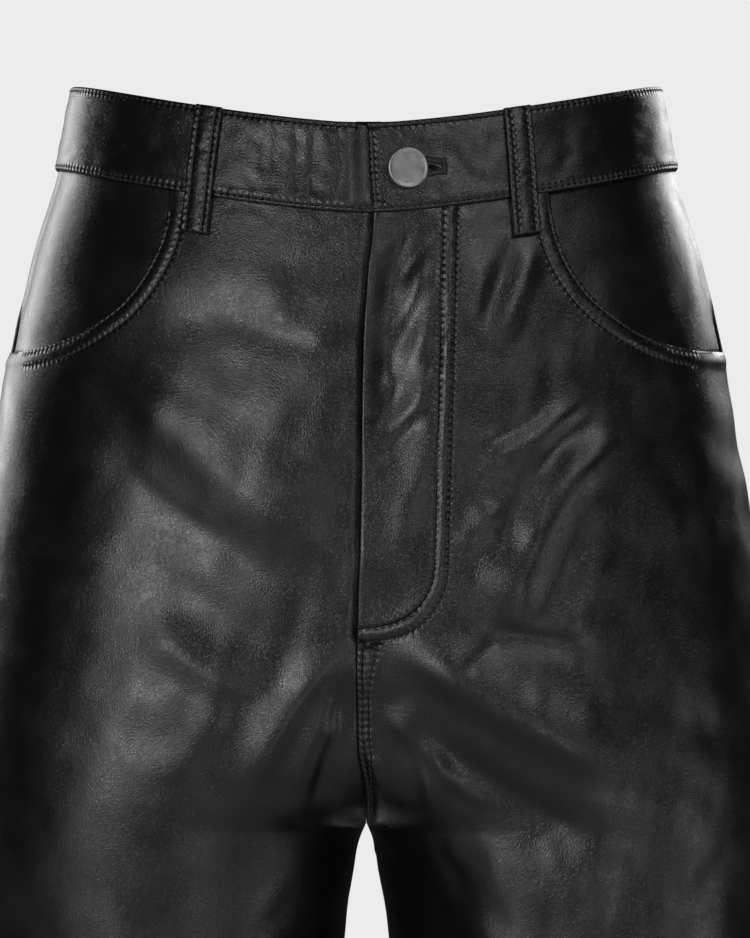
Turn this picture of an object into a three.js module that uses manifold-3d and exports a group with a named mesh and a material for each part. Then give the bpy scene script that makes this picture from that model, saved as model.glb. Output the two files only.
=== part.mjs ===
// Leather trousers, worn: a hollow shell of leather panels with a waistband, scoop pockets,
// a zip fly and a shank button. Millimetres, +Z up, the front faces -Y and the wearer's left
// side is +X. The origin is the middle of the waist, level with the button.

import * as THREE from 'three';
import { mergeVertices } from 'three/addons/utils/BufferGeometryUtils.js';
import Module from 'manifold-3d';

const wasm = await Module();
wasm.setup();

// Leather and seams
const LEATHER = 1.2;
const SEAM = 0.3;
const HEM_TURN = 25;

// Heights down the body, on the front edge
const BAND_TOP = 19;
const BAND_SEAM = -19;
const CROTCH = -280;
const HEM = -1040;
const YOKE_AT_SIDE = -52;
const YOKE_AT_BACK = -86;

// Waistband: its faces, measured out from the panels' outer face
const BAND_FACE = { out: 1.7, in: -0.9 };
const LAP = { reach: 34, sink: 2.9, stepFrom: 0.5, stepTo: 9 };

// One row for each ring round half of the trousers: height, the x of its widest place at the
// side, of its deepest place and of its inner end, front and back depth, and how square the
// front and back curves are. An inner x below zero is cut off at the centre line, so the rings
// of both halves join there; above zero it is a leg.
const RINGS = [
  { z: 60, side: 121, middle: 0, inner: -121, front: 88, back: 89, squareFront: 2.05, squareBack: 2.0 },
  { z: 19, side: 127, middle: 0, inner: -127, front: 93, back: 93, squareFront: 2.1, squareBack: 2.0 },
  { z: -19, side: 134, middle: 0, inner: -134, front: 99, back: 98, squareFront: 2.15, squareBack: 2.0 },
  { z: -60, side: 147, middle: 0, inner: -147, front: 106, back: 108, squareFront: 2.2, squareBack: 2.05 },
  { z: -110, side: 160, middle: 2, inner: -160, front: 111, back: 121, squareFront: 2.25, squareBack: 2.1 },
  { z: -160, side: 169, middle: 15, inner: -163, front: 112, back: 130, squareFront: 2.3, squareBack: 2.15 },
  { z: -200, side: 174, middle: 38, inner: -138, front: 110, back: 133, squareFront: 2.3, squareBack: 2.2 },
  { z: -240, side: 177, middle: 64, inner: -82, front: 107, back: 128, squareFront: 2.3, squareBack: 2.2 },
  { z: -265, side: 178, middle: 78, inner: -30, front: 105, back: 121, squareFront: 2.25, squareBack: 2.2 },
  { z: -280, side: 178, middle: 84, inner: 0, front: 103, back: 115, squareFront: 2.2, squareBack: 2.15 },
  { z: -300, side: 177, middle: 88, inner: 6, front: 101, back: 108, squareFront: 2.15, squareBack: 2.1 },
  { z: -400, side: 171, middle: 93, inner: 15, front: 90, back: 93, squareFront: 2.1, squareBack: 2.1 },
  { z: -560, side: 169, middle: 96, inner: 24, front: 71, back: 73, squareFront: 2.1, squareBack: 2.1 },
  { z: -720, side: 169, middle: 99, inner: 29, front: 67, back: 75, squareFront: 2.1, squareBack: 2.1 },
  { z: -1040, side: 166, middle: 100, inner: 34, front: 63, back: 71, squareFront: 2.1, squareBack: 2.1 },
  { z: -1080, side: 166, middle: 100, inner: 34, front: 63, back: 71, squareFront: 2.1, squareBack: 2.1 },
];

// Sideways lean of the centre-front edge at each height
const LEAN = [
  { z: 60, x: 0.8 }, { z: 19, x: 0.8 }, { z: 0, x: 1.5 }, { z: -19, x: 2.9 }, { z: -46, x: 0.4 },
  { z: -80, x: -1.4 }, { z: -136, x: -2.2 }, { z: -210, x: -4 }, { z: -242, x: -3.4 },
  { z: -262, x: -0.6 }, { z: -274, x: 0 }, { z: -1080, x: 0 },
];
const LEAN_WIDTH = 14;

// How far the waist climbs from the centre front to the side and on to the centre back
const CLIMB = { flat: 15, linear: 0.085, square: 0.00067, back: 11.5, end: -150 };

// Folds: the two ends, how far the middle hangs below the line between them, half the width,
// and the height, which is negative for a trough.
const FRONT_FOLDS = [
  { x0: -95, z0: -97, x1: -12, z1: -157, bow: 10, half: 8, rise: -3.5 },
  { x0: -95, z0: -94, x1: -45, z1: -131, bow: 2, half: 7, rise: 2.5 },
  { x0: -94, z0: -150, x1: -18, z1: -210, bow: 3, half: 8, rise: -3 },
  { x0: -64, z0: -166, x1: -20, z1: -189, bow: 0, half: 8, rise: 1.5 },
  { x0: -12, z0: -202, x1: -46, z1: -254, bow: -4, half: 7, rise: 3 },
  { x0: -24, z0: -228, x1: -38, z1: -260, bow: 0, half: 6, rise: -2 },
  { x0: 99, z0: -97, x1: 55, z1: -158, bow: 5, half: 6, rise: -3.5 },
  { x0: 99, z0: -104, x1: 50, z1: -172, bow: -4, half: 8, rise: 3.5 },
  { x0: 52, z0: -194, x1: 90, z1: -206, bow: 0, half: 7, rise: -2 },
  { x0: 26, z0: -202, x1: 92, z1: -236, bow: 4, half: 13, rise: 4 },
  { x0: 4, z0: -200, x1: 97, z1: -264, bow: 12, half: 10, rise: -5 },
  { x0: 12, z0: -229, x1: 28, z1: -268, bow: 0, half: 6, rise: 2 },
];

// Folds of each leg, given for the left one. The right leg has them mirrored, moved down by
// LEG_SHIFT and a little shallower, so that the two are not alike.
const LEG_SHIFT = { z: -17, depth: 0.82 };
const LEG_FOLDS = [
  { face: 'front', x0: 22, z0: -300, x1: 78, z1: -376, bow: 6, half: 12, rise: -3 },
  { face: 'front', x0: 40, z0: -318, x1: 112, z1: -424, bow: 4, half: 15, rise: 2.5 },
  { face: 'front', x0: 44, z0: -522, x1: 142, z1: -546, bow: 9, half: 12, rise: -3 },
  { face: 'front', x0: 50, z0: -556, x1: 146, z1: -572, bow: 6, half: 11, rise: 2.5 },
  { face: 'front', x0: 60, z0: -604, x1: 142, z1: -592, bow: 6, half: 12, rise: -2.5 },
  { face: 'front', x0: 54, z0: -950, x1: 148, z1: -968, bow: 8, half: 12, rise: -3 },
  { face: 'front', x0: 60, z0: -986, x1: 142, z1: -992, bow: 6, half: 11, rise: 2.5 },
  { face: 'back', x0: 16, z0: -262, x1: 124, z1: -292, bow: 16, half: 14, rise: -4.5 },
  { face: 'back', x0: 20, z0: -306, x1: 98, z1: -362, bow: 6, half: 13, rise: -3 },
  { face: 'back', x0: 44, z0: -530, x1: 150, z1: -510, bow: 9, half: 12, rise: -4 },
  { face: 'back', x0: 42, z0: -570, x1: 150, z1: -556, bow: 8, half: 12, rise: -4 },
  { face: 'back', x0: 48, z0: -606, x1: 146, z1: -602, bow: 5, half: 12, rise: -3 },
  { face: 'back', x0: 56, z0: -958, x1: 144, z1: -976, bow: 7, half: 12, rise: -3 },
];

// Scoop pocket: a quarter ellipse from the waist seam to the side seam
const POCKET = { x: 147, z: -10, acrossRadius: 70, downRadius: 66, facingPast: 14 };

// Steps down each panel: to this height, in this many steps, crowded towards the crotch
const FRONT_STEPS = [
  { to: -130, count: 9, crowd: 'none' },
  { to: -250, count: 12, crowd: 'none' },
  { to: CROTCH, count: 7, crowd: 'end' },
  { to: -335, count: 5, crowd: 'start' },
  { to: -900, count: 15, crowd: 'none' },
  { to: HEM, count: 7, crowd: 'none' },
];
const BACK_STEPS = [
  { to: -250, count: 9, crowd: 'none' },
  { to: CROTCH, count: 6, crowd: 'end' },
  { to: -335, count: 4, crowd: 'start' },
  { to: -900, count: 15, crowd: 'none' },
  { to: HEM, count: 6, crowd: 'none' },
];
const FRONT_COLUMNS = 16;
const BACK_COLUMNS = 11;

// Belt loops: where the middle of each lies at the band's top and at its foot
const LOOPS = [
  { name: 'belt_loop_front_left', face: 'front', top: 62.5, foot: 67 },
  { name: 'belt_loop_front_right', face: 'front', top: -65, foot: -71.5 },
  { name: 'belt_loop_back_left', face: 'back', top: 74, foot: 78 },
  { name: 'belt_loop_back_right', face: 'back', top: -74, foot: -78 },
  { name: 'belt_loop_centre_back', face: 'back', top: 0, foot: 0 },
];
const LOOP = { width: 11.2, thick: 1.6, drop: 16.5, bow: 0.9 };

// Button, its tack and its hole
const BUTTON = { x: 16.6, h: -1.1, radius: 8.5, shank: 2.8, dish: 6.6, tackRadius: 5 };
const HOLE = { eye: 3.4, midX: 8.2, midHalf: 2.3, endX: 14.6, endHalf: 0.4 };

// Fly zip
const ZIP = { top: -21, foot: -186, half: 14, thick: 1.2, seat: 1.9, sag: 3.3, chainHalf: 5 };
const SLIDER = { h: -30, half: 4.5, long: 11, thick: 2, tabHalf: 2.6, tabLong: 22 };

const LEATHER_FINISH = { color: 0x1b1b1c, roughness: 0.5, metalness: 0 };
const PEWTER_FINISH = { color: 0x8f8f90, roughness: 0.38, metalness: 0.9 };
const ZIP_FINISH = { color: 0x202022, roughness: 0.7, metalness: 0.1 };

const smooth = (low, high, value) => THREE.MathUtils.smoothstep(value, low, high);

// A smooth function of height through one column of a table whose rows run downwards, by
// cubic steps whose slopes never overshoot.
function columnCurve(table, column) {
  const z = table.map((row) => row.z);
  const v = table.map((row) => row[column]);
  const last = z.length - 1;
  const step = z.slice(1).map((end, k) => (v[k + 1] - v[k]) / (end - z[k]));
  const slope = z.map((_, k) => {
    if (k === 0) return step[0];
    if (k === last) return step[last - 1];
    return step[k - 1] * step[k] <= 0 ? 0 : 2 / (1 / step[k - 1] + 1 / step[k]);
  });
  return (height) => {
    const at = Math.min(Math.max(height, z[last]), z[0]);
    let k = 0;
    while (k < last - 1 && at < z[k + 1]) k += 1;
    const span = z[k + 1] - z[k];
    const t = (at - z[k]) / span;
    const start = v[k] * (1 + 2 * t) * (1 - t) ** 2 + slope[k] * span * t * (1 - t) ** 2;
    const end = v[k + 1] * t * t * (3 - 2 * t) + slope[k + 1] * span * t * t * (t - 1);
    return start + end;
  };
}

const RING_COLUMNS = ['side', 'middle', 'inner', 'front', 'back', 'squareFront', 'squareBack'];
const ringCurve = {};
for (const name of RING_COLUMNS) ringCurve[name] = columnCurve(RINGS, name);
const lean = columnCurve(LEAN, 'x');

// The front or back curve of the ring at a height: its deepest x, its half widths inwards and
// outwards of that, its depth and its squareness
function ringAt(h, face) {
  const middle = ringCurve.middle(h);
  return {
    middle,
    inwards: middle - ringCurve.inner(h),
    outwards: ringCurve.side(h) - middle,
    depth: ringCurve[face](h),
    square: ringCurve[face === 'front' ? 'squareFront' : 'squareBack'](h),
  };
}

// How far a place at x lies from the deepest one, as a share of that side's half width
function acrossShare(ring, x) {
  return (x - ring.middle) / (x < ring.middle ? ring.inwards : ring.outwards);
}

// Points along a ring from its inner end to the side seam, with the length up to each
const ARC_STEPS = 240;
const arcs = new Map();
function arcAt(h, face) {
  const key = `${face}${h.toFixed(4)}`;
  if (arcs.has(key)) return arcs.get(key);
  const ring = ringAt(h, face);
  const cut = Math.max(-1, acrossShare(ring, SEAM / 2));
  const power = ring.square / 2;
  const widest = cut < 0 ? Math.PI - Math.acos((-cut) ** power) : Math.acos(cut ** power);
  const sign = face === 'front' ? -1 : 1;
  const points = [];
  let length = 0;
  for (let k = 0; k <= ARC_STEPS; k += 1) {
    const turn = widest * (1 - k / ARC_STEPS);
    const c = Math.cos(turn);
    const share = Math.sign(c) * Math.abs(c) ** (1 / power);
    const x = ring.middle + (c < 0 ? ring.inwards : ring.outwards) * share;
    const y = sign * ring.depth * Math.abs(Math.sin(turn)) ** (1 / power);
    const before = points[k - 1];
    if (before) length += Math.hypot(x - before.x, y - before.y);
    points.push({ x, y, length });
  }
  const arc = { points, length };
  arcs.set(key, arc);
  return arc;
}

// The point of an arc at a length along it from its inner end
function alongArc(arc, length) {
  const { points } = arc;
  let k = 1;
  while (k < points.length - 1 && points[k].length < length) k += 1;
  const t = (length - points[k - 1].length) / (points[k].length - points[k - 1].length);
  return {
    x: THREE.MathUtils.lerp(points[k - 1].x, points[k].x, t),
    y: THREE.MathUtils.lerp(points[k - 1].y, points[k].y, t),
  };
}

// How much higher than at the centre front the waist lies, above a point of a ring
function climb(h, x, y) {
  const across = Math.abs(x);
  const front = CLIMB.linear * (Math.sqrt(across ** 2 + CLIMB.flat ** 2) - CLIMB.flat);
  const side = ringCurve.side(h);
  const behind = y > 0 ? CLIMB.back * smooth(0, 1, 1 - across / side) : 0;
  const fade = smooth(CLIMB.end, BAND_SEAM, h);
  return (front + CLIMB.square * across ** 2 + behind) * fade;
}

// The unit vector out of the smooth form at a point of the half with x above zero
function outward(h, x, y) {
  const face = y > 0 ? 'back' : 'front';
  const level = (height) => {
    const ring = ringAt(height, face);
    return Math.abs(acrossShare(ring, x)) ** ring.square + Math.abs(y / ring.depth) ** ring.square;
  };
  const ring = ringAt(h, face);
  const steepness = (share, half) => (
    (ring.square / half) * Math.sign(share) * Math.abs(share) ** (ring.square - 1));
  const gx = steepness(acrossShare(ring, x), x < ring.middle ? ring.inwards : ring.outwards);
  const gy = steepness(y / ring.depth, ring.depth);
  const gh = level(h + 0.5) - level(h - 0.5);
  const climbX = climb(h, x + 0.5, y) - climb(h, x - 0.5, y);
  const climbH = climb(h + 0.5, x, y) - climb(h - 0.5, x, y);
  return new THREE.Vector3(gx - (gh * climbX) / (1 + climbH), gy, gh / (1 + climbH)).normalize();
}

// The height of one fold at a place of the front or back, seen flat
function foldHeight(fold, x, z) {
  const dx = fold.x1 - fold.x0;
  const dz = fold.z1 - fold.z0;
  const length = Math.hypot(dx, dz);
  const down = dx > 0 ? 1 : -1;
  const t = ((x - fold.x0) * dx + (z - fold.z0) * dz) / length ** 2;
  const below = (down * ((x - fold.x0) * dz - (z - fold.z0) * dx)) / length;
  const off = (below - 4 * fold.bow * t * (1 - t)) / fold.half;
  const ends = smooth(-0.12, 0.25, t) * (1 - smooth(0.75, 1.12, t));
  return fold.rise * ends * Math.exp(-off * off);
}

// All folds together at a place whose outward vector is n
function folds(x, z, n) {
  const facing = n.y < 0 ? 'front' : 'back';
  const share = smooth(0.1, 0.55, Math.abs(n.y));
  let height = 0;
  if (facing === 'front') for (const fold of FRONT_FOLDS) height += foldHeight(fold, x, z);
  const right = x < 0;
  for (const fold of LEG_FOLDS) {
    if (fold.face !== facing) continue;
    const part = foldHeight(fold, Math.abs(x), right ? z - LEG_SHIFT.z : z);
    height += right ? part * LEG_SHIFT.depth : part;
  }
  return height * share;
}

// A place on the trousers: ring height, half-width coordinates, which half, and how far out.
// Neither half crosses the centre line.
function place(h, x, y, half, out) {
  const n = outward(h, x, y);
  const z = h + climb(h, x, y);
  const lift = out + folds(half * x, z, n);
  const across = half * Math.max(x + n.x * lift, SEAM / 2);
  const shift = lean(z) * Math.exp(-((across / LEAN_WIDTH) ** 2));
  return new THREE.Vector3(across + shift, y + n.y * lift, z + n.z * lift);
}

// A place of the front or back found by its x from the centre line
function placeByX(h, x, face, out) {
  const ring = ringAt(h, face);
  const share = Math.min(1, Math.abs(acrossShare(ring, Math.abs(x))));
  const depth = ring.depth * (1 - share ** ring.square) ** (1 / ring.square);
  return place(h, Math.abs(x), face === 'front' ? -depth : depth, x < 0 ? -1 : 1, out);
}

// Makes one closed body of points and triangles, turned so that its faces point out
function closedGeometry(points, triangles) {
  const volume = triangles.reduce((sum, [a, b, c]) => (
    sum + points[a].dot(new THREE.Vector3().crossVectors(points[b], points[c]))), 0);
  const index = triangles.flatMap(([a, b, c]) => (volume > 0 ? [a, b, c] : [a, c, b]));
  const geometry = new THREE.BufferGeometry();
  geometry.setAttribute('position',
    new THREE.Float32BufferAttribute(points.flatMap((p) => [p.x, p.y, p.z]), 3));
  geometry.setIndex(index);
  return geometry;
}

// A wall between two grids of points: at(row, column, 'out' or 'in') gives each point. Each
// square is split from its first corner, or, where rising is true, along the other diagonal.
function wall(rows, columns, at, rising = false) {
  const points = [];
  for (const face of ['out', 'in']) {
    for (let i = 0; i < rows; i += 1) {
      for (let j = 0; j < columns; j += 1) points.push(at(i, j, face));
    }
  }
  const inside = rows * columns;
  const id = (i, j) => i * columns + j;
  const triangles = [];
  for (let i = 0; i < rows - 1; i += 1) {
    for (let j = 0; j < columns - 1; j += 1) {
      const corners = [id(i, j), id(i + 1, j), id(i + 1, j + 1), id(i, j + 1)];
      if (rising) corners.push(corners.shift());
      const [a, b, c, d] = corners;
      triangles.push([a, b, c], [a, c, d]);
      triangles.push([a + inside, c + inside, b + inside], [a + inside, d + inside, c + inside]);
    }
  }
  const edge = [];
  for (let i = 0; i < rows - 1; i += 1) edge.push(id(i, 0));
  for (let j = 0; j < columns - 1; j += 1) edge.push(id(rows - 1, j));
  for (let i = rows - 1; i > 0; i -= 1) edge.push(id(i, columns - 1));
  for (let j = columns - 1; j > 0; j -= 1) edge.push(id(0, j));
  edge.forEach((p, k) => {
    const q = edge[(k + 1) % edge.length];
    triangles.push([q, p, p + inside], [q, p + inside, q + inside]);
  });
  return closedGeometry(points, triangles);
}

function toManifold(geometry) {
  const bare = geometry.clone();
  bare.deleteAttribute('normal');
  bare.deleteAttribute('uv');
  const merged = mergeVertices(bare, 1e-4);
  return new wasm.Manifold(new wasm.Mesh({
    numProp: 3,
    vertProperties: new Float32Array(merged.attributes.position.array),
    triVerts: new Uint32Array(merged.index.array),
  }));
}

function fromManifold(solid) {
  const mesh = solid.getMesh();
  const geometry = new THREE.BufferGeometry();
  const positions = new Float32Array((mesh.vertProperties.length / mesh.numProp) * 3);
  for (let k = 0; k < positions.length / 3; k += 1) {
    for (let d = 0; d < 3; d += 1) positions[3 * k + d] = mesh.vertProperties[mesh.numProp * k + d];
  }
  geometry.setAttribute('position', new THREE.BufferAttribute(positions, 3));
  geometry.setIndex(Array.from(mesh.triVerts));
  return geometry;
}

const cutAway = (geometry, cutter) => (
  fromManifold(toManifold(geometry).subtract(toManifold(cutter))));
const keepWithin = (geometry, cutter) => (
  fromManifold(toManifold(geometry).intersect(toManifold(cutter))));

// Ring heights from a start down through the steps of a table
function heights(start, steps) {
  const list = [start];
  let from = start;
  for (const { to, count, crowd } of steps) {
    for (let k = 1; k <= count; k += 1) {
      const t = k / count;
      const eased = { none: t, end: 1 - (1 - t) ** 2, start: t * t }[crowd];
      list.push(from + (to - from) * eased);
    }
    from = to;
  }
  return list;
}

// A point of a leg panel: t runs from the inner edge (0) to the side seam (1)
function panelPoint(h, face, t, half, out) {
  const arc = arcAt(h, face);
  const innerGap = (SEAM / 2) * (1 - smooth(CROTCH, CROTCH + 12, h));
  const length = THREE.MathUtils.lerp(innerGap, arc.length - SEAM / 2, t);
  const { x, y } = alongArc(arc, length);
  return place(h, x, y, half, out);
}

// The wall is doubled where the hem is turned up
const wallIn = (h) => (h < HEM + HEM_TURN ? -2 * LEATHER : -LEATHER);

const frontHeights = heights(BAND_SEAM - SEAM / 2, FRONT_STEPS);

// A front before its pocket is cut, or a strip of it, between two distances out. The folds of
// the right front rise towards its side, and its squares are split to follow them.
function frontBlank(half, rowCount, firstColumn, out, inner) {
  const at = (i, j, face) => {
    const h = frontHeights[i];
    const t = (j + firstColumn) / FRONT_COLUMNS;
    return panelPoint(h, 'front', t, half, face === 'out' ? out : inner(h));
  };
  return wall(rowCount, FRONT_COLUMNS + 1 - firstColumn, at, half < 0);
}

// The space right of the pocket edge, as a block through the front, grown by some amount
function pocketBlock(half, grow) {
  const outline = new THREE.Shape();
  const high = 60;
  const wide = 210;
  outline.moveTo(wide, high);
  outline.lineTo(POCKET.x - POCKET.acrossRadius - grow, high);
  const acrossRadius = POCKET.acrossRadius + grow;
  const downRadius = POCKET.downRadius + grow;
  outline.absellipse(POCKET.x, POCKET.z, acrossRadius, downRadius, Math.PI, 1.5 * Math.PI, false, 0);
  outline.lineTo(wide, POCKET.z - downRadius);
  outline.closePath();
  const block = new THREE.ExtrudeGeometry(outline, {
    depth: 260, bevelEnabled: false, curveSegments: 12,
  });
  block.rotateX(Math.PI / 2);
  block.translate(0, 60, 0);
  if (half > 0) return block;
  block.scale(-1, 1, 1);
  return reversed(block);
}

function reversed(geometry) {
  const bare = mergeVertices(geometry.deleteAttribute('normal').deleteAttribute('uv'), 1e-4);
  const index = bare.index.array;
  for (let k = 0; k < index.length; k += 3) [index[k + 1], index[k + 2]] = [index[k + 2], index[k + 1]];
  return bare;
}

function frontPanel(half) {
  return cutAway(frontBlank(half, frontHeights.length, 0, 0, wallIn), pocketBlock(half, 0));
}

function pocketFacing(half) {
  const rows = frontHeights.filter((h) => h > -125).length;
  const out = -LEATHER - SEAM;
  const blank = frontBlank(half, rows, 4, out, () => out - LEATHER);
  return keepWithin(blank, pocketBlock(half, POCKET.facingPast));
}

// The yoke seam: its height at a share of the way from the centre back to the side
const yokeSeam = (t) => THREE.MathUtils.lerp(YOKE_AT_BACK, YOKE_AT_SIDE, t);

function yoke(half) {
  const rows = 4;
  return wall(rows, BACK_COLUMNS + 1, (i, j, face) => {
    const t = j / BACK_COLUMNS;
    const top = BAND_SEAM - SEAM / 2;
    const h = THREE.MathUtils.lerp(top, yokeSeam(t) + SEAM / 2, i / (rows - 1));
    return panelPoint(h, 'back', t, half, face === 'out' ? 0 : -LEATHER);
  });
}

// The back panel starts at the slanting yoke seam, and its rows level out below the seat
function backPanel(half) {
  const levelled = -200;
  const rows = heights(YOKE_AT_BACK, BACK_STEPS);
  return wall(rows.length, BACK_COLUMNS + 1, (i, j, face) => {
    const t = j / BACK_COLUMNS;
    const slant = smooth(levelled, YOKE_AT_BACK, rows[i]);
    const h = rows[i] + slant * (yokeSeam(t) - SEAM / 2 - YOKE_AT_BACK);
    return panelPoint(h, 'back', t, half, face === 'out' ? 0 : wallIn(h));
  });
}

// A point of the waistband at a length from the centre front; a length below zero lies on
// the other half, under the lap
function bandPoint(h, length, half, out) {
  const front = arcAt(h, 'front');
  const side = length < 0 ? -half : half;
  const away = Math.abs(length);
  if (away <= front.length) {
    const { x, y } = alongArc(front, away);
    return place(h, x, y, side, out);
  }
  const back = arcAt(h, 'back');
  const { x, y } = alongArc(back, back.length - (away - front.length));
  return place(h, x, y, side, out);
}

// Half of the waistband from a start length round to the centre back. The tucked half sinks
// by LAP.sink where it runs under the other one.
function waistband(half, starts, tucked) {
  const rowHeights = [BAND_SEAM + SEAM / 2, -7, 6, BAND_TOP];
  const aroundSteps = 26;
  const last = starts[starts.length - 1];
  const columns = starts.length + aroundSteps;
  return wall(rowHeights.length, columns, (i, j, face) => {
    const h = rowHeights[i];
    const whole = arcAt(h, 'front').length + arcAt(h, 'back').length;
    const around = (j - starts.length + 1) / aroundSteps;
    const length = j < starts.length ? starts[j] : THREE.MathUtils.lerp(last, whole, around);
    const sink = tucked ? LAP.sink * (1 - smooth(LAP.stepFrom, LAP.stepTo, length)) : 0;
    return bandPoint(h, length, half, BAND_FACE[face] - sink);
  });
}

// The keyhole for the button: an eye round the shank and a slit that narrows to its end
function buttonhole() {
  const outline = new THREE.Shape();
  const opens = Math.PI / 3;
  outline.moveTo(HOLE.endX, -HOLE.endHalf);
  outline.lineTo(HOLE.endX, HOLE.endHalf);
  outline.lineTo(HOLE.midX, HOLE.midHalf);
  outline.absarc(0, 0, HOLE.eye, opens, 2 * Math.PI - opens, false);
  outline.lineTo(HOLE.midX, -HOLE.midHalf);
  outline.closePath();
  const block = new THREE.ExtrudeGeometry(outline, {
    depth: 60, bevelEnabled: false, curveSegments: 10,
  });
  block.rotateX(Math.PI / 2);
  const centre = placeByX(BUTTON.h, BUTTON.x, 'front', 0);
  block.translate(centre.x, centre.y + 30, centre.z);
  return block;
}

// A belt loop: a strip that hangs from the waist seam, turns up at its foot and runs over the
// band to its top. Each row gives ring height and distance out, for both faces of the strip.
function loopRows() {
  const foot = BAND_SEAM - LOOP.drop;
  const under = SEAM;
  const over = under + LOOP.thick + SEAM;
  const middle = over - SEAM / 2;
  const onBand = BAND_FACE.out + SEAM;
  const outer = over + LOOP.thick;
  const turn = middle - under;
  const fold = [-60, -20, 20, 60].map((deg) => {
    const a = THREE.MathUtils.degToRad(deg);
    return {
      out: [foot + turn * (1 - Math.cos(a)), middle - turn * Math.sin(a)],
      in: [foot + turn - (SEAM / 2) * Math.cos(a), middle - (SEAM / 2) * Math.sin(a)],
    };
  });
  return [
    { out: [BAND_TOP, onBand + LOOP.thick], in: [BAND_TOP, onBand] },
    { out: [8, onBand + LOOP.bow + LOOP.thick], in: [8, onBand + LOOP.bow] },
    { out: [-6, onBand + LOOP.bow + LOOP.thick], in: [-6, onBand + LOOP.bow] },
    { out: [BAND_SEAM, outer + 0.2], in: [BAND_SEAM, over + 0.2] },
    { out: [foot + turn, outer], in: [foot + turn, over] },
    ...fold,
    { out: [foot + turn, under], in: [foot + turn, under + LOOP.thick] },
    { out: [BAND_SEAM - 1, under], in: [BAND_SEAM - 1, under + LOOP.thick] },
  ];
}

function beltLoop({ face, top, foot }) {
  const rows = loopRows();
  const columns = 3;
  return wall(rows.length, columns, (i, j, side) => {
    const [h, out] = rows[i][side];
    const down = (BAND_TOP - h) / (BAND_TOP - BAND_SEAM + LOOP.drop);
    const middle = THREE.MathUtils.lerp(top, foot, down);
    const x = middle + LOOP.width * (j / (columns - 1) - 0.5);
    return placeByX(h, x, face, out);
  });
}

// A turned piece whose axis stands square on the front at the button
function turned(profile) {
  const geometry = new THREE.LatheGeometry(profile.map(([r, y]) => new THREE.Vector2(r, y)), 28);
  const base = placeByX(BUTTON.h, BUTTON.x, 'front', 0);
  const axis = placeByX(BUTTON.h, BUTTON.x, 'front', 1).sub(base).normalize();
  geometry.applyQuaternion(new THREE.Quaternion().setFromUnitVectors(new THREE.Vector3(0, 1, 0), axis));
  geometry.translate(base.x, base.y, base.z);
  return geometry;
}

function button() {
  const seat = BAND_FACE.out - LAP.sink + SEAM;
  const under = BAND_FACE.out + 0.9;
  const { radius, shank, dish } = BUTTON;
  return turned([
    [0, seat], [shank, seat], [shank - 0.3, under - 0.4], [shank + 1, under],
    [radius - 0.9, under], [radius, under + 0.8], [radius, under + 1.5], [radius - 0.5, under + 2.1],
    [radius - 1.1, under + 2.1], [dish, under + 1.5], [0, under + 1.4],
  ]);
}

function buttonTack() {
  const top = BAND_FACE.in - LAP.sink - SEAM;
  const r = BUTTON.tackRadius;
  return turned([[0, top - 1.6], [r - 1, top - 1.5], [r, top - 0.8], [r, top], [0, top]]);
}

// The zip's tape lies behind both fronts and sinks in the middle, where the chain and the
// slider need room
const zipOut = (x) => -ZIP.seat - ZIP.sag * (1 - smooth(ZIP.chainHalf, ZIP.half - 2, Math.abs(x)));

function flyZip() {
  const rows = 12;
  const columns = 9;
  return wall(rows, columns, (i, j, face) => {
    const h = THREE.MathUtils.lerp(ZIP.top, ZIP.foot, i / (rows - 1));
    const x = ZIP.half * ((2 * j) / (columns - 1) - 1);
    return placeByX(h, x, 'front', zipOut(x) - (face === 'out' ? 0 : ZIP.thick));
  });
}

// The slider and its tab in one plate, parallel to the tape
function zipSlider() {
  const { half, long, thick, tabHalf, tabLong } = SLIDER;
  const outline = new THREE.Shape();
  outline.moveTo(-half, long / 2);
  outline.lineTo(half, long / 2);
  outline.lineTo(half * 0.8, -long / 2);
  outline.lineTo(tabHalf, -long / 2);
  outline.lineTo(tabHalf, -long / 2 - tabLong);
  outline.absarc(0, -long / 2 - tabLong, tabHalf, 0, -Math.PI, true);
  outline.lineTo(-tabHalf, -long / 2);
  outline.lineTo(-half * 0.8, -long / 2);
  outline.closePath();
  const geometry = new THREE.ExtrudeGeometry(outline, {
    depth: thick, bevelEnabled: false, curveSegments: 8,
  });
  const seatAt = (h) => placeByX(h, 0, 'front', zipOut(0) + SEAM + 0.1);
  const high = seatAt(SLIDER.h + long / 2);
  const low = seatAt(SLIDER.h - long / 2 - tabLong);
  const tilt = Math.atan2(low.y - high.y, high.z - low.z);
  geometry.rotateX(Math.PI / 2 + tilt);
  const middle = seatAt(SLIDER.h);
  geometry.translate(middle.x, middle.y, middle.z);
  return geometry;
}

const group = new THREE.Group();

function add(name, geometry, finish) {
  geometry.computeVertexNormals();
  const mesh = new THREE.Mesh(geometry, new THREE.MeshStandardMaterial(finish));
  mesh.name = name;
  group.add(mesh);
}

for (const [side, half] of [['left', 1], ['right', -1]]) {
  add(`front_${side}`, frontPanel(half), LEATHER_FINISH);
  add(`pocket_facing_${side}`, pocketFacing(half), LEATHER_FINISH);
  add(`yoke_${side}`, yoke(half), LEATHER_FINISH);
  add(`back_${side}`, backPanel(half), LEATHER_FINISH);
}
add('waistband_left', cutAway(waistband(1, [0], false), buttonhole()), LEATHER_FINISH);
const tuckedStarts = [-LAP.reach, -25, -16, -8, -3, 0.5, 2.5, 4.5, 6.5, 9, 15];
add('waistband_right', waistband(-1, tuckedStarts, true), LEATHER_FINISH);
for (const loop of LOOPS) add(loop.name, beltLoop(loop), LEATHER_FINISH);
add('button', button(), PEWTER_FINISH);
add('button_tack', buttonTack(), PEWTER_FINISH);
add('fly_zip', flyZip(), ZIP_FINISH);
add('zip_slider', zipSlider(), PEWTER_FINISH);

export default group;
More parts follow.
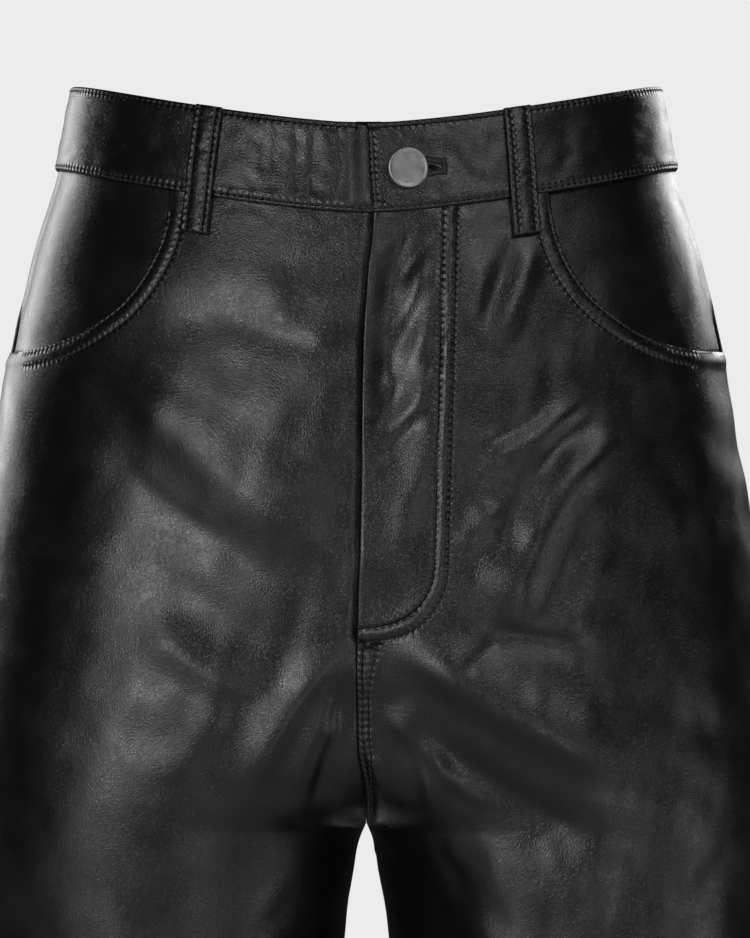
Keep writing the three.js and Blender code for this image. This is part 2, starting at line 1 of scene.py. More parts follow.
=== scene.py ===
"""Black leather trousers in worn shape, cut to the photograph's view of their front.

All sizes are millimetres until a mesh is made. +Z is up, the front faces -Y and the wearer's
left side is +X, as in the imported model.
"""
import bpy
import math
import numpy as np
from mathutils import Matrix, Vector


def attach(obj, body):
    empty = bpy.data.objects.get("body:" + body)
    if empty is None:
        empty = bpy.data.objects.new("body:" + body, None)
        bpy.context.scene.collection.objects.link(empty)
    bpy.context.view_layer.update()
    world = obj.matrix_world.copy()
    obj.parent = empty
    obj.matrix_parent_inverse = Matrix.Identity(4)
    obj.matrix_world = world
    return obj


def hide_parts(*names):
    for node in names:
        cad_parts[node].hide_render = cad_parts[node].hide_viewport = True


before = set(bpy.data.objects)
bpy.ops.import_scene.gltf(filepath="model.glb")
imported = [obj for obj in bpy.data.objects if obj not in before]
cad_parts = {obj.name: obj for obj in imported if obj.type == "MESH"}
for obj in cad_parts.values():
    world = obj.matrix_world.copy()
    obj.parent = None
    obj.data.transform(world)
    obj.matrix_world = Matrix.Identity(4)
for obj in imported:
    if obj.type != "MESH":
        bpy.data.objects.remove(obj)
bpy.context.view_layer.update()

MM = 0.001

# The view: a long lens, level, 2.4 m in front of the trousers
PIXELS_PER_MM = 2.4
PICTURE_HIGH = 938
SENSOR = 36
AWAY = 2400
FRONT_Y = -106
FAR_CLIP = 60
VIEW_CENTRE = (3.75, -126.1)

camera_data = bpy.data.cameras.new("camera")
camera_data.sensor_width = SENSOR
camera_data.lens = SENSOR * AWAY * PIXELS_PER_MM / PICTURE_HIGH
camera_data.clip_end = FAR_CLIP
camera = bpy.data.objects.new("camera", camera_data)
camera.location = (VIEW_CENTRE[0] * MM, (FRONT_Y - AWAY) * MM, VIEW_CENTRE[1] * MM)
camera.rotation_euler = (math.radians(90), 0, 0)
bpy.context.collection.objects.link(camera)
bpy.context.scene.camera = camera

# Sizes
WALL = 1.1
SEAM = 0.08
BAND_TOP, BAND_SEAM = 19.0, -19.0
CROTCH, HEM = -280.0, -1040.0
HEM_TURN = 25.0
YOKE_AT_SIDE, YOKE_AT_BACK = -52.0, -86.0
BAND_OUT, BAND_IN = 1.7, -0.9
PITCH = 3.05

# The rings of one half, from the top down, in the columns named here
RING_COLUMNS = ("z", "side", "middle", "inner", "front", "back", "square_front", "square_back")
RINGS = np.array([
    (60, 121, 0, -121, 88, 89, 2.05, 2.0),
    (19, 127, 0, -127, 93, 93, 2.1, 2.0),
    (-19, 134, 0, -134, 99, 98, 2.15, 2.0),
    (-60, 147, 0, -147, 106, 108, 2.2, 2.05),
    (-110, 160, 2, -160, 111, 121, 2.25, 2.1),
    (-160, 169, 15, -163, 112, 130, 2.3, 2.15),
    (-200, 174, 38, -138, 110, 133, 2.3, 2.2),
    (-240, 177, 64, -82, 107, 128, 2.3, 2.2),
    (-265, 178, 78, -30, 105, 121, 2.25, 2.2),
    (-280, 178, 84, 0, 103, 115, 2.2, 2.15),
    (-300, 177, 88, 6, 101, 108, 2.15, 2.1),
    (-400, 171, 93, 15, 90, 93, 2.1, 2.1),
    (-560, 169, 96, 24, 71, 73, 2.1, 2.1),
    (-720, 169, 99, 29, 67, 75, 2.1, 2.1),
    (-1040, 166, 100, 34, 63, 71, 2.1, 2.1),
    (-1080, 166, 100, 34, 63, 71, 2.1, 2.1),
], dtype=float)

# Height and sideways lean of the centre-front edge
LEAN = np.array([
    (60, 0.8), (19, 0.8), (0, 1.5), (-19, 2.9), (-46, 0.4), (-80, -1.4), (-136, -2.2),
    (-210, -4), (-242, -3.4), (-262, -0.6), (-274, 0), (-1080, 0),
], dtype=float)
LEAN_WIDTH = 14.0

# Folds: both ends (x, z), how far the middle hangs below the line between them, half the
# width, and the height, which is negative for a trough.
FRONT_FOLDS = [
    (-100, -90, -20, -152, 4, 17, 3.2),
    (-97, -122, -6, -190, 8, 15, -2.0),
    (-97, -160, -16, -216, 4, 13, -1.7),
    (-90, -196, -50, -222, 2, 9, 1.4),
    (-14, -206, -48, -262, -4, 7, 2.6),
    (-4, -214, -22, -272, 0, 7, -2.8),
    (97, -102, 54, -166, -6, 7, -2.2),
    (103, -112, 60, -192, -9, 11, 3.2),
    (51, -193, 90, -200, 0, 5, -1.6),
    (14, -198, 102, -251, 2, 12, 5.2),
    (6, -224, 99, -284, 5, 11, -4.2),
    (12, -226, 30, -268, -2, 7, 3.4),
    (12, -22, 9, -118, 0, 8, -2.3),
]
FINE_FOLDS = [
    (-70, -58, -22, -72, 2, 6, -0.5),
    (-96, -121, -58, -150, 2, 6, 0.7),
    (-88, -202, -48, -226, 2, 6, -0.7),
    (-40, -60, -12, -72, 2, 6, 0.6),
    (-88, -78, -24, -104, 3, 10, 0.6),
    (-8, -30, -40, -44, 2, 7, -0.5),
    (-10, -232, -25, -264, -2, 4, 1.0),
    (-17, -236, -29, -266, 0, 3.5, -0.7),
    (-4, -246, -8, -262, 0, 3, 0.35),
    (-60, -226, -82, -256, 0, 7, 0.9),
    (70, -32, 54, -75, 2, 5, 1.3),
    (62, -30, 48, -66, 0, 4, -0.8),
    (48, -34, 46, -70, 0, 6, 0.8),
    (90, -98, 51, -121, 3, 5, 1.0),
    (79, -95, 45, -117, 3, 5, -0.9),
    (60, -118, 44, -132, 2, 4, 0.8),
    (54, -142, 40, -160, 0, 5, 1.2),
    (56, -195, 41, -211, 0, 4, -0.8),
    (88, -150, 70, -190, 4, 7, -1.0),
    (97, -160, 84, -196, 4, 7, 0.9),
    (23, -236, 50, -268, 3, 5, 1.6),
    (17, -238, 40, -268, 2, 4, -0.8),
    (4.5, -246, 8, -259, 0, 1.7, 0.8),
    (24, -36, 9, -74, 2, 4, 0.9),
    (31, -44, 20, -84, 1, 3.5, 0.7),
    (27, -28, 13, -48, 0, 3, -0.6),
    (14, -26, 6, -40, 0, 3, 0.5),
    (30, -82, 10, -112, 2, 4, 0.8),
    (22, -104, 8, -122, 0, 3, -0.6),
    (12, -88, 4, -104, 0, 3, 0.5),
    (29, -112, 14, -146, 1, 4.5, 0.6),
    (20, -140, 6, -170, 0, 5, 0.5),
    (31, -66, 26, -100, 0, 2.5, -0.5),
]

# The same for each leg, given for the left one, and by the face it lies on. The right leg has
# them mirrored, lower and a little shallower.
RIGHT_LEG_LOWER, RIGHT_LEG_DEPTH = -17, 0.82
FOLD_DEPTH = 1.35
LEG_FOLDS = {
    "front": [
        (22, -300, 78, -376, 6, 12, -3),
        (40, -318, 112, -424, 4, 15, 2.5),
        (44, -522, 142, -546, 9, 12, -3),
        (50, -556, 146, -572, 6, 11, 2.5),
        (60, -604, 142, -592, 6, 12, -2.5),
        (54, -950, 148, -968, 8, 12, -3),
        (60, -986, 142, -992, 6, 11, 2.5),
    ],
    "back": [
        (16, -262, 124, -292, 16, 14, -4.5),
        (20, -306, 98, -362, 6, 13, -3),
        (44, -530, 150, -510, 9, 12, -4),
        (42, -570, 150, -556, 8, 12, -4),
        (48, -606, 146, -602, 5, 12, -3),
        (56, -958, 144, -976, 7, 12, -3),
    ],
}
LEG_FINE_FOLDS = {
    "front": [
        (30, -288, 64, -318, 3, 5, -1.2),
        (112, -300, 60, -352, 5, 7, 1.2),
        (150, -292, 108, -332, 4, 7, -1.2),
        (120, -410, 84, -452, 3, 8, -0.9),
        (56, -470, 120, -500, 6, 8, 1.1),
        (56, -538, 128, -552, 8, 5, -1.4),
        (70, -580, 140, -584, 5, 5, -1.4),
        (52, -620, 112, -640, 4, 7, 1.1),
        (110, -676, 74, -716, 3, 9, -0.9),
        (62, -790, 122, -822, 5, 9, 0.9),
        (64, -918, 132, -930, 6, 8, 1.3),
        (72, -968, 140, -978, 5, 5, -1.5),
        (60, -1006, 120, -1012, 3, 5, -0.9),
    ],
    "back": [
        (30, -276, 96, -318, 8, 6, 1.8),
        (110, -300, 150, -330, 3, 8, -1.4),
        (36, -328, 84, -392, 5, 7, 1.4),
        (64, -440, 120, -462, 5, 8, 1.2),
        (50, -548, 140, -532, 8, 6, 2.2),
        (50, -588, 140, -578, 7, 6, 2.2),
        (58, -640, 130, -650, 5, 7, -1.4),
        (100, -700, 66, -740, 3, 9, -1),
        (64, -812, 126, -836, 5, 9, 1),
        (62, -934, 132, -944, 6, 8, 1.6),
        (70, -990, 138, -998, 5, 6, -1.4),
    ],
}
BACK_FOLDS = [
    (-96, -168, -40, -202, 8, 12, -1.2),
    (96, -174, 36, -210, 8, 12, -1.4),
    (-70, -226, -14, -262, 6, 8, -1.8),
    (66, -230, 16, -262, 6, 8, -1.8),
    (-110, -122, -80, -166, 3, 9, 0.9),
    (104, -118, 78, -160, 3, 9, 1.0),
]
BAND_CREASES = [
    (-42, 12, -43.5, -8, 0, 1.8, -0.22),
    (-37, 16, -38, -6, 0, 2.0, -0.28),
    (-29, 15, -30.5, -12, 0.6, 2.2, -0.75),
    (-21.5, 14, -23, -16, -0.6, 2.3, -0.75),
    (-12, 16, -13, -10, 0.5, 2.4, -0.3),
    (-4, 12, -3.6, -12, 0, 2, -0.2),
    (34, 10, 47, -12, 2, 3.5, -0.5),
    (44, 14, 52, -12, 0, 4, 0.4),
    (82, 14, 86, -8, 0, 4, -0.5),
    (-84, 16, -88, -6, 0, 4, -0.4),
]

# Scoop pocket: a quarter ellipse from the waist seam to the side seam, on each side
POCKET_Z, POCKET_ACROSS, POCKET_DOWN = -10.0, 70.0, 66.0
POCKET_X = {1: 147.5, -1: 153.0}

# Fly stitching: a straight run, then a quarter superellipse to the crotch seam
FLY = {"top_x": 38.4, "bend_x": 34.5, "bend_z": -165.0, "end_x": -2.2, "down": 33.4, "square": 2.2}
FLY_ROWS_APART = 6.35

BUTTON = {"x": 16.6, "h": -1.1, "radius": 8.6}
LOOP_WIDTH, LOOP_THICK, LOOP_DROP = 11.2, 1.6, 16.5
LOOPS = {
    "belt_loop_front_left": ("front", 62.5, 67.0),
    "belt_loop_front_right": ("front", -65.0, -71.5),
    "belt_loop_back_left": ("back", 74.0, 78.0),
    "belt_loop_back_right": ("back", -74.0, -78.0),
    "belt_loop_centre_back": ("back", 0.0, 0.0),
}


def smooth(low, high, value):
    """0 below low, 1 above high, and 3t^2 - 2t^3 between them."""
    t = np.clip((value - low) / (high - low), 0, 1)
    return t * t * (3 - 2 * t)


def column_curve(z, v):
    """A smooth function of height through points that run downwards: cubic steps, each with
    the harmonic mean of its neighbours' slopes, so that no step overshoots."""
    step = np.diff(v) / np.diff(z)
    slope = np.concatenate([step[:1], np.zeros(len(v) - 2), step[-1:]])
    above, below = step[:-1], step[1:]
    same_way = above * below > 0
    slope[1:-1] = np.where(same_way, 2 * above * below / np.where(same_way, above + below, 1), 0)

    def value(height):
        at = np.clip(height, z[-1], z[0])
        k = np.clip(np.searchsorted(-z, -at, side="right") - 1, 0, len(z) - 2)
        span = z[k + 1] - z[k]
        t = (at - z[k]) / span
        start = v[k] * (1 + 2 * t) * (1 - t) ** 2 + slope[k] * span * t * (1 - t) ** 2
        end = v[k + 1] * t * t * (3 - 2 * t) + slope[k + 1] * span * t * t * (t - 1)
        return start + end

    return value


RING = {name: column_curve(RINGS[:, 0], RINGS[:, k]) for k, name in enumerate(RING_COLUMNS) if k}
lean = column_curve(LEAN[:, 0], LEAN[:, 1])


def ring_share(h, x):
    """How far x lies from the ring's deepest place, as a share of that side's half width."""
    middle = RING["middle"](h)
    half = np.where(x < middle, middle - RING["inner"](h), RING["side"](h) - middle)
    return (x - middle) / half, half


def ring_point(face, h, turn):
    """The ring in its turn from the side (0) inwards: x is the cosine and y the sine, each to
    the power 2 / squareness, times the half widths and the depth."""
    power = RING["square_" + face](h) / 2
    c = np.cos(turn)
    share = np.sign(c) * np.abs(c) ** (1 / power)
    middle = RING["middle"](h)
    half = np.where(c < 0, middle - RING["inner"](h), RING["side"](h) - middle)
    depth = RING[face](h) * (-1 if face == "front" else 1)
    return middle + half * share, depth * np.abs(np.sin(turn)) ** (1 / power)


def widest_turn(face, h):
    """The turn at which a ring meets the centre line, or a half turn on a whole ring."""
    cut = np.clip(ring_share(h, np.full_like(h, SEAM / 2))[0], -1, 1)
    inside = np.arccos(np.abs(cut) ** (RING["square_" + face](h) / 2))
    return np.where(cut < 0, math.pi - inside, inside)


# Tables that turn a share of a ring's length into its turn, for each face
TABLE_H = np.arange(60.0, HEM - 20, -2.0)
ARC_STEPS = 400


def arc_table(face):
    """Rows of TABLE_H by ARC_STEPS + 1 shares of the length; each entry is the turn there, as
    a share of the widest turn. Also the length of each ring from its inner end to the side."""
    h = TABLE_H[:, None]
    share = np.linspace(1, 0, ARC_STEPS + 1)[None, :]
    x, y = ring_point(face, h + 0 * share, widest_turn(face, h) * share)
    run = np.cumsum(np.hypot(np.diff(x, axis=1), np.diff(y, axis=1)), axis=1)
    run = np.concatenate([np.zeros((len(h), 1)), run], axis=1)
    length = run[:, -1]
    row = 2.0 * np.arange(len(h))[:, None]
    wanted = np.linspace(0, 1, ARC_STEPS + 1)[None, :] + row
    known = run / length[:, None] + row
    turns = np.interp(wanted.ravel(), known.ravel(), np.broadcast_to(share, run.shape).ravel())
    return turns.reshape(run.shape), length


ARC_TABLES = {face: arc_table(face) for face in ("front", "back")}


def arc_length(face, h):
    """The length of a ring from its inner end to the side, from the table."""
    return np.interp(-h, -TABLE_H, ARC_TABLES[face][1])


def along_ring(face, h, share):
    """x and y at a share of a ring's length from its inner end, by linear steps between the
    four nearest entries of the table."""
    turns = ARC_TABLES[face][0]
    row = np.clip((TABLE_H[0] - h) / 2.0, 0, len(TABLE_H) - 1.001)
    col = np.clip(share, 0, 1) * (ARC_STEPS - 1e-6)
    i, j = row.astype(int), col.astype(int)
    a, b = row - i, col - j
    upper = turns[i, j] * (1 - b) + turns[i, j + 1] * b
    lower = turns[i + 1, j] * (1 - b) + turns[i + 1, j + 1] * b
    return ring_point(face, h, widest_turn(face, h) * (upper * (1 - a) + lower * a))


def climb(h, x, y):
    """How much higher than at the centre front the waist lies: 0.085 of the distance across
    past a flat middle, a small square of it, and a smooth step to the centre back."""
    across = np.abs(x)
    front = 0.085 * (np.sqrt(across ** 2 + 225) - 15) + 0.00067 * across ** 2
    behind = np.where(y > 0, 11.5 * smooth(0, 1, 1 - across / RING["side"](h)), 0)
    return (front + behind) * smooth(-150, BAND_SEAM, h)


def outward(face, h, x, y):
    """The unit vector out of the smooth form: the gradient of share^n + depth share^n, with
    the climb of the waist taken into account."""
    square = RING["square_" + face](h)

    def level(height):
        power = RING["square_" + face](height)
        deep = np.abs(y / RING[face](height)) ** power
        return np.abs(ring_share(height, x)[0]) ** power + deep

    share, half = ring_share(h, x)
    depth = RING[face](h)
    gx = square / half * np.sign(share) * np.abs(share) ** (square - 1)
    gy = square / depth * np.sign(y) * np.abs(y / depth) ** (square - 1)
    gh = level(h + 0.5) - level(h - 0.5)
    climb_x = climb(h, x + 0.5, y) - climb(h, x - 0.5, y)
    climb_h = climb(h + 0.5, x, y) - climb(h - 0.5, x, y)
    n = np.stack([gx - gh * climb_x / (1 + climb_h), gy, gh / (1 + climb_h)], axis=-1)
    return n / np.linalg.norm(n, axis=-1, keepdims=True)


def fold_height(fold, x, z):
    """A bell across a bowed line, steeper on the side that turns away from the light, and
    faded at both ends."""
    x0, z0, x1, z1, bow, half, rise = fold
    dx, dz = x1 - x0, z1 - z0
    length = math.hypot(dx, dz)
    down = 1 if dx > 0 else -1
    t = ((x - x0) * dx + (z - z0) * dz) / length ** 2
    below = down * ((x - x0) * dz - (z - z0) * dx) / length
    off = (below - 4 * bow * t * (1 - t)) / half
    steep_below = 0.78 if rise > 0 else 1.35
    off = off / np.where(off > 0, steep_below, 2.13 - steep_below)
    ends = smooth(-0.12, 0.25, t) * (1 - smooth(0.75, 1.12, t))
    return rise * ends * np.exp(-off * off)


def unevenness(x, z, size, seed):
    """A sum of waves in all directions, from 0.6 to 1.7 times the size long, at most about 1
    high."""
    rng = np.random.default_rng(seed)
    total = np.zeros_like(x)
    waves = 14
    for _ in range(waves):
        angle, phase = rng.uniform(0, 2 * math.pi, 2)
        k = 2 * math.pi / (size * rng.uniform(0.6, 1.7))
        total += np.sin(k * (x * math.cos(angle) + z * math.sin(angle)) + phase)
    return total / math.sqrt(waves) / 1.6


def folds(face, x, z, n):
    """The height of all folds and of the leather's unevenness at a place."""
    share = smooth(0.1, 0.55, np.abs(n[..., 1]))
    height = np.zeros_like(x)
    right = x < 0
    for fold in (FRONT_FOLDS + FINE_FOLDS) if face == "front" else BACK_FOLDS:
        height += fold_height(fold, x, z)
    leg_z = np.where(right, z - RIGHT_LEG_LOWER, z)
    for fold in LEG_FOLDS[face] + LEG_FINE_FOLDS[face]:
        height += fold_height(fold, np.abs(x), leg_z) * np.where(right, RIGHT_LEG_DEPTH, 1)
    height *= share * FOLD_DEPTH
    below_waist = smooth(-20, -60, z)
    around = x + 0.7 * n[..., 0] * 60
    height += 0.7 * below_waist * unevenness(around, z, 50, 3)
    height += 0.28 * below_waist * unevenness(around, z, 17, 4)
    return height


def place(face, h, x, y, half, out, extra=0):
    """Points of the trousers from ring height and half-width coordinates, moved out. Beside
    the centre seam they move only forward, so that folds don't open it."""
    n = outward(face, h, x, y)
    z = h + climb(h, x, y)
    lift = out + folds(face, half * x, z, n) + extra
    held = (1 - smooth(0, 6, x)) * smooth(CROTCH - 14, CROTCH, h)
    across = half * np.maximum(x + n[..., 0] * lift * (1 - held), SEAM / 2)
    across = across + lean(z) * np.exp(-(across / LEAN_WIDTH) ** 2)
    points = np.stack([across, y + n[..., 1] * lift, z + n[..., 2] * lift], axis=-1)
    return points, n * np.array([half, 1, 1])


def panel_xy(face, h, t):
    """x and y on a leg panel, where t runs from the inner edge (0) to the side seam (1)."""
    length = arc_length(face, h)
    inner = SEAM / 2 * (1 - smooth(CROTCH, CROTCH + 12, h))
    return along_ring(face, h, (inner + t * (length - inner - SEAM / 2)) / length)


def xy_at(face, h, x):
    """The half-width coordinates of the place of a face with this distance from the centre."""
    square = RING["square_" + face](h)
    share = np.minimum(1, np.abs(ring_share(h, np.abs(x))[0]))
    depth = RING[face](h) * (1 - share ** square) ** (1 / square)
    return np.abs(x), depth * (-1 if face == "front" else 1)


def place_at(face, h, x, out, extra=0):
    """Like place, for places found by their signed x, on either half."""
    half = np.where(x < 0, -1, 1)
    across, y = xy_at(face, h, x)
    n = outward(face, h, across, y)
    z = h + climb(h, across, y)
    lift = out + folds(face, x, z, n) + extra
    shifted = x + half * n[..., 0] * lift
    shifted = shifted + lean(z) * np.exp(-(shifted / LEAN_WIDTH) ** 2)
    points = np.stack([shifted, y + n[..., 1] * lift, z + n[..., 2] * lift], axis=-1)
    return points, n * np.stack([half, np.ones_like(half), np.ones_like(half)], axis=-1)


def ring_height(face, x, z):
    """The ring height whose place at this x lies at height z, by repeated correction."""
    h = np.array(z, dtype=float)
    for _ in range(12):
        h = z - climb(h, *xy_at(face, h, x))
    return h


# Making meshes

EDGE = np.array([0, 0.15, 0.4, 0.8, 1.4, 2.2])


def spread(first, last, step):
    """Evenly spaced values from first to last, about a step apart, without the two ends."""
    count = max(2, int(round(abs(last - first) / step)))
    return np.linspace(first, last, count + 1)[1:-1]


def edged(length, step):
    """Shares of a length, close at both ends and a step apart between them."""
    near = EDGE / length
    return np.concatenate([near, spread(near[-1], 1 - near[-1], step / length), 1 - near[::-1]])


def wall_mesh(outer, inner, flip):
    """Points and quads of a closed wall between two grids of points, rows by columns."""
    rows, cols = outer.shape[:2]
    ids = np.arange(rows * cols).reshape(rows, cols)
    quad = np.stack([ids[:-1, :-1], ids[1:, :-1], ids[1:, 1:], ids[:-1, 1:]], -1).reshape(-1, 4)
    ring = np.concatenate([ids[:-1, 0], ids[-1, :-1], ids[:0:-1, -1], ids[0, :0:-1]])
    after = np.roll(ring, -1)
    rim = np.stack([after, ring, ring + ids.size, after + ids.size], -1)
    faces = np.concatenate([quad, quad[:, ::-1] + ids.size, rim])
    points = np.concatenate([outer.reshape(-1, 3), inner.reshape(-1, 3)])
    return points, faces[:, ::-1] if flip else faces


def make_piece(name, points, faces, material, seam=None):
    """A smooth-shaded object at the origin whose mesh holds its place, in metres."""
    mesh = bpy.data.meshes.new(name)
    mesh.from_pydata((points * MM).tolist(), [], faces.tolist())
    mesh.polygons.foreach_set("use_smooth", np.ones(len(mesh.polygons), dtype=bool))
    if seam is not None:
        corners = seam[faces.ravel()].astype(np.float32)
        mesh.uv_layers.new(name="seam").data.foreach_set("uv", corners.ravel())
    mesh.materials.append(material)
    piece = bpy.data.objects.new(name, mesh)
    bpy.context.collection.objects.link(piece)
    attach(piece, "root")
    return piece


def cut_by(piece, cutter):
    """Takes a cutter object out of a piece and deletes the cutter."""
    cut = piece.modifiers.new("cut", "BOOLEAN")
    cut.operation, cut.solver, cut.object = "DIFFERENCE", "EXACT", cutter
    evaluated = piece.evaluated_get(bpy.context.evaluated_depsgraph_get())
    mesh = bpy.data.meshes.new_from_object(evaluated)
    piece.modifiers.clear()
    old, piece.data = piece.data, mesh
    bpy.data.meshes.remove(old)
    bpy.data.objects.remove(cutter)
    mesh.name = piece.name


def prism(name, outline, y_low, y_high):
    """A closed block through the front: an outline in x and z, carried along y."""
    count = len(outline)
    near = np.column_stack([outline[:, 0], np.full(count, y_low), outline[:, 1]])
    far = near + np.array([0, y_high - y_low, 0])
    mesh = bpy.data.meshes.new(name)
    sides = [(k, (k + 1) % count, (k + 1) % count + count, k + count) for k in range(count)]
    caps = [tuple(range(count))[::-1], tuple(range(count, 2 * count))]
    mesh.from_pydata((np.concatenate([near, far]) * MM).tolist(), [], sides + caps)
    mesh.validate()
    block = bpy.data.objects.new(name, mesh)
    bpy.context.collection.objects.link(block)
    volume = sum(p.area * p.normal.dot(p.center) for p in mesh.polygons)
    if volume < 0:
        mesh.flip_normals()
    return block


# Rows of stitches

def path_lengths(points):
    """How far along a path each of its points lies."""
    steps = np.linalg.norm(np.diff(points, axis=0), axis=1)
    return np.concatenate([[0], np.cumsum(steps)])


def neighbour_side(rows, k, aside):
    """Which side of row k, as +1 or -1, the nearest other row within 8 mm lies on."""
    row = rows[k][0]
    middle = len(row) // 2
    side, least = 1.0, 8.0
    for other in (pair[0] for j, pair in enumerate(rows) if j != k):
        gap = other - row[middle]
        length = np.linalg.norm(gap, axis=1)
        nearest = length.argmin()
        if length[nearest] < least:
            least = length[nearest]
            side = np.sign(gap[nearest] @ aside[middle])
    return side


def seam_rows(points, rows):
    """For each point, how many stitches along the nearest row it lies and how far to one side
    of it in mm. The distance is above 0 towards a neighbouring row, so that it passes through
    0 only at a row, and it is -ROW_FAR beyond ROW_REACH of every row."""
    flat = points.reshape(-1, 3)
    field = np.column_stack([np.zeros(len(flat)), np.full(len(flat), -ROW_FAR)])
    nearest = np.full(len(flat), ROW_REACH ** 2)
    for number, (row, normal) in enumerate(rows):
        run = path_lengths(row)
        tangent = np.gradient(row, axis=0)
        tangent /= np.linalg.norm(tangent, axis=1, keepdims=True)
        aside = np.cross(normal, tangent)
        aside *= neighbour_side(rows, number, aside)
        low, high = row.min(0) - ROW_REACH, row.max(0) + ROW_REACH
        near = np.flatnonzero(np.all((flat > low) & (flat < high), axis=1))
        for part in np.array_split(near, max(1, len(near) * len(row) // 4000000 + 1)):
            away = flat[part][:, None, :] - row[None, :, :]
            squared = np.einsum("ijk,ijk->ij", away, away)
            k = squared.argmin(1)
            v = away[np.arange(len(part)), k]
            along = np.einsum("ij,ij->i", v, tangent[k])
            across = np.einsum("ij,ij->i", v, aside[k])
            closer = squared.min(1) < nearest[part]
            chosen = part[closer]
            nearest[chosen] = squared.min(1)[closer]
            field[chosen, 0] = (run[k] + along)[closer] / PITCH
            field[chosen, 1] = across[closer]
    return field


ROW_REACH, ROW_FAR = 3.4, 40.0


def spindles(name, at, t, n, shape, material):
    """A short square-sided spindle at each place, along t and with n pointing out. The shape
    gives half its length, half its thickness, and at five stations its girth as a share and
    how far the middle of its section lies out."""
    half_long, thick, wide, girth, high = shape
    corner = np.radians([45, 135, 225, 315])
    side = (girth[:, None] * np.cos(corner)).ravel() * thick * wide
    up = (high[:, None] + girth[:, None] * thick * np.sin(corner)).ravel()
    along = np.repeat(STATIONS, 4) * half_long
    t = t / np.maximum(np.linalg.norm(t, axis=1, keepdims=True), 1e-6)
    b = np.cross(n, t)
    b /= np.linalg.norm(b, axis=1, keepdims=True)
    n = np.cross(t, b)
    points = (at[:, None] + along[:, None] * t[:, None] + side[:, None] * b[:, None]
              + up[:, None] * n[:, None])
    ids = np.arange(20).reshape(5, 4)
    after = np.roll(ids, -1, axis=1)
    body = np.stack([ids[:-1], after[:-1], after[1:], ids[1:]], -1).reshape(-1, 4)
    one = np.concatenate([body, ids[:1, ::-1], ids[-1:]])
    faces = (one[None] + 20 * np.arange(len(at))[:, None, None]).reshape(-1, 4)
    piece = make_piece(name, points.reshape(-1, 3), faces, material)
    return piece


STATIONS = np.array([-1, -0.62, 0, 0.62, 1])
STITCH_SHAPE = (PITCH * 0.41, 0.24, 1.3, np.array([0.3, 0.85, 1, 0.85, 0.3]),
                np.array([-0.34, -0.06, 0, -0.06, -0.34]))
PLUMP = np.array([0.35, 0.85, 1, 0.85, 0.35])
PLUMP_HIGH = np.array([-0.35, 0, 0.1, 0, -0.35])
TOOTH_SHAPE = (2.6, 0.5, 1.25, PLUMP, PLUMP_HIGH)
SATIN_SHAPE = (1.35, 0.33, 1.25, PLUMP, PLUMP_HIGH)


def stitches(name, rows, material):
    """The thread seen between its holes: a spindle for each stitch, sunk at both ends, at
    whole numbers of stitches along each row."""
    places = []
    for row, normal in rows:
        run = path_lengths(row)
        middle = np.arange(0.5, run[-1] / PITCH - 0.3) * PITCH
        at, ahead, n = (np.column_stack([np.interp(where, run, line[:, k]) for k in range(3)])
                        for where, line in ((middle, row), (middle + 0.5, row), (middle, normal)))
        places.append((at, ahead - at, n))
    at, t, n = (np.concatenate(part) for part in zip(*places))
    return spindles(name, at, t, n, STITCH_SHAPE, material)


# Materials

def new_material(name):
    """A node material, with its nodes and its links."""
    material = bpy.data.materials.new(name)
    material.use_nodes = True
    return material, material.node_tree.nodes, material.node_tree.links


def math_node(nodes, links, operation, *values):
    """A Math node whose inputs are numbers or sockets; returns its output."""
    node = nodes.new("ShaderNodeMath")
    node.operation = operation
    for k, value in enumerate(values):
        if isinstance(value, (int, float)):
            node.inputs[k].default_value = value
        else:
            links.new(value, node.inputs[k])
    return node.outputs[0]


def noise_node(nodes, links, where, scale, detail, rough=0.5):
    """A Noise Texture at a place; returns its height."""
    node = nodes.new("ShaderNodeTexNoise")
    node.inputs["Scale"].default_value = scale
    node.inputs["Detail"].default_value = detail
    node.inputs["Roughness"].default_value = rough
    links.new(where, node.inputs["Vector"])
    return node.outputs[0]


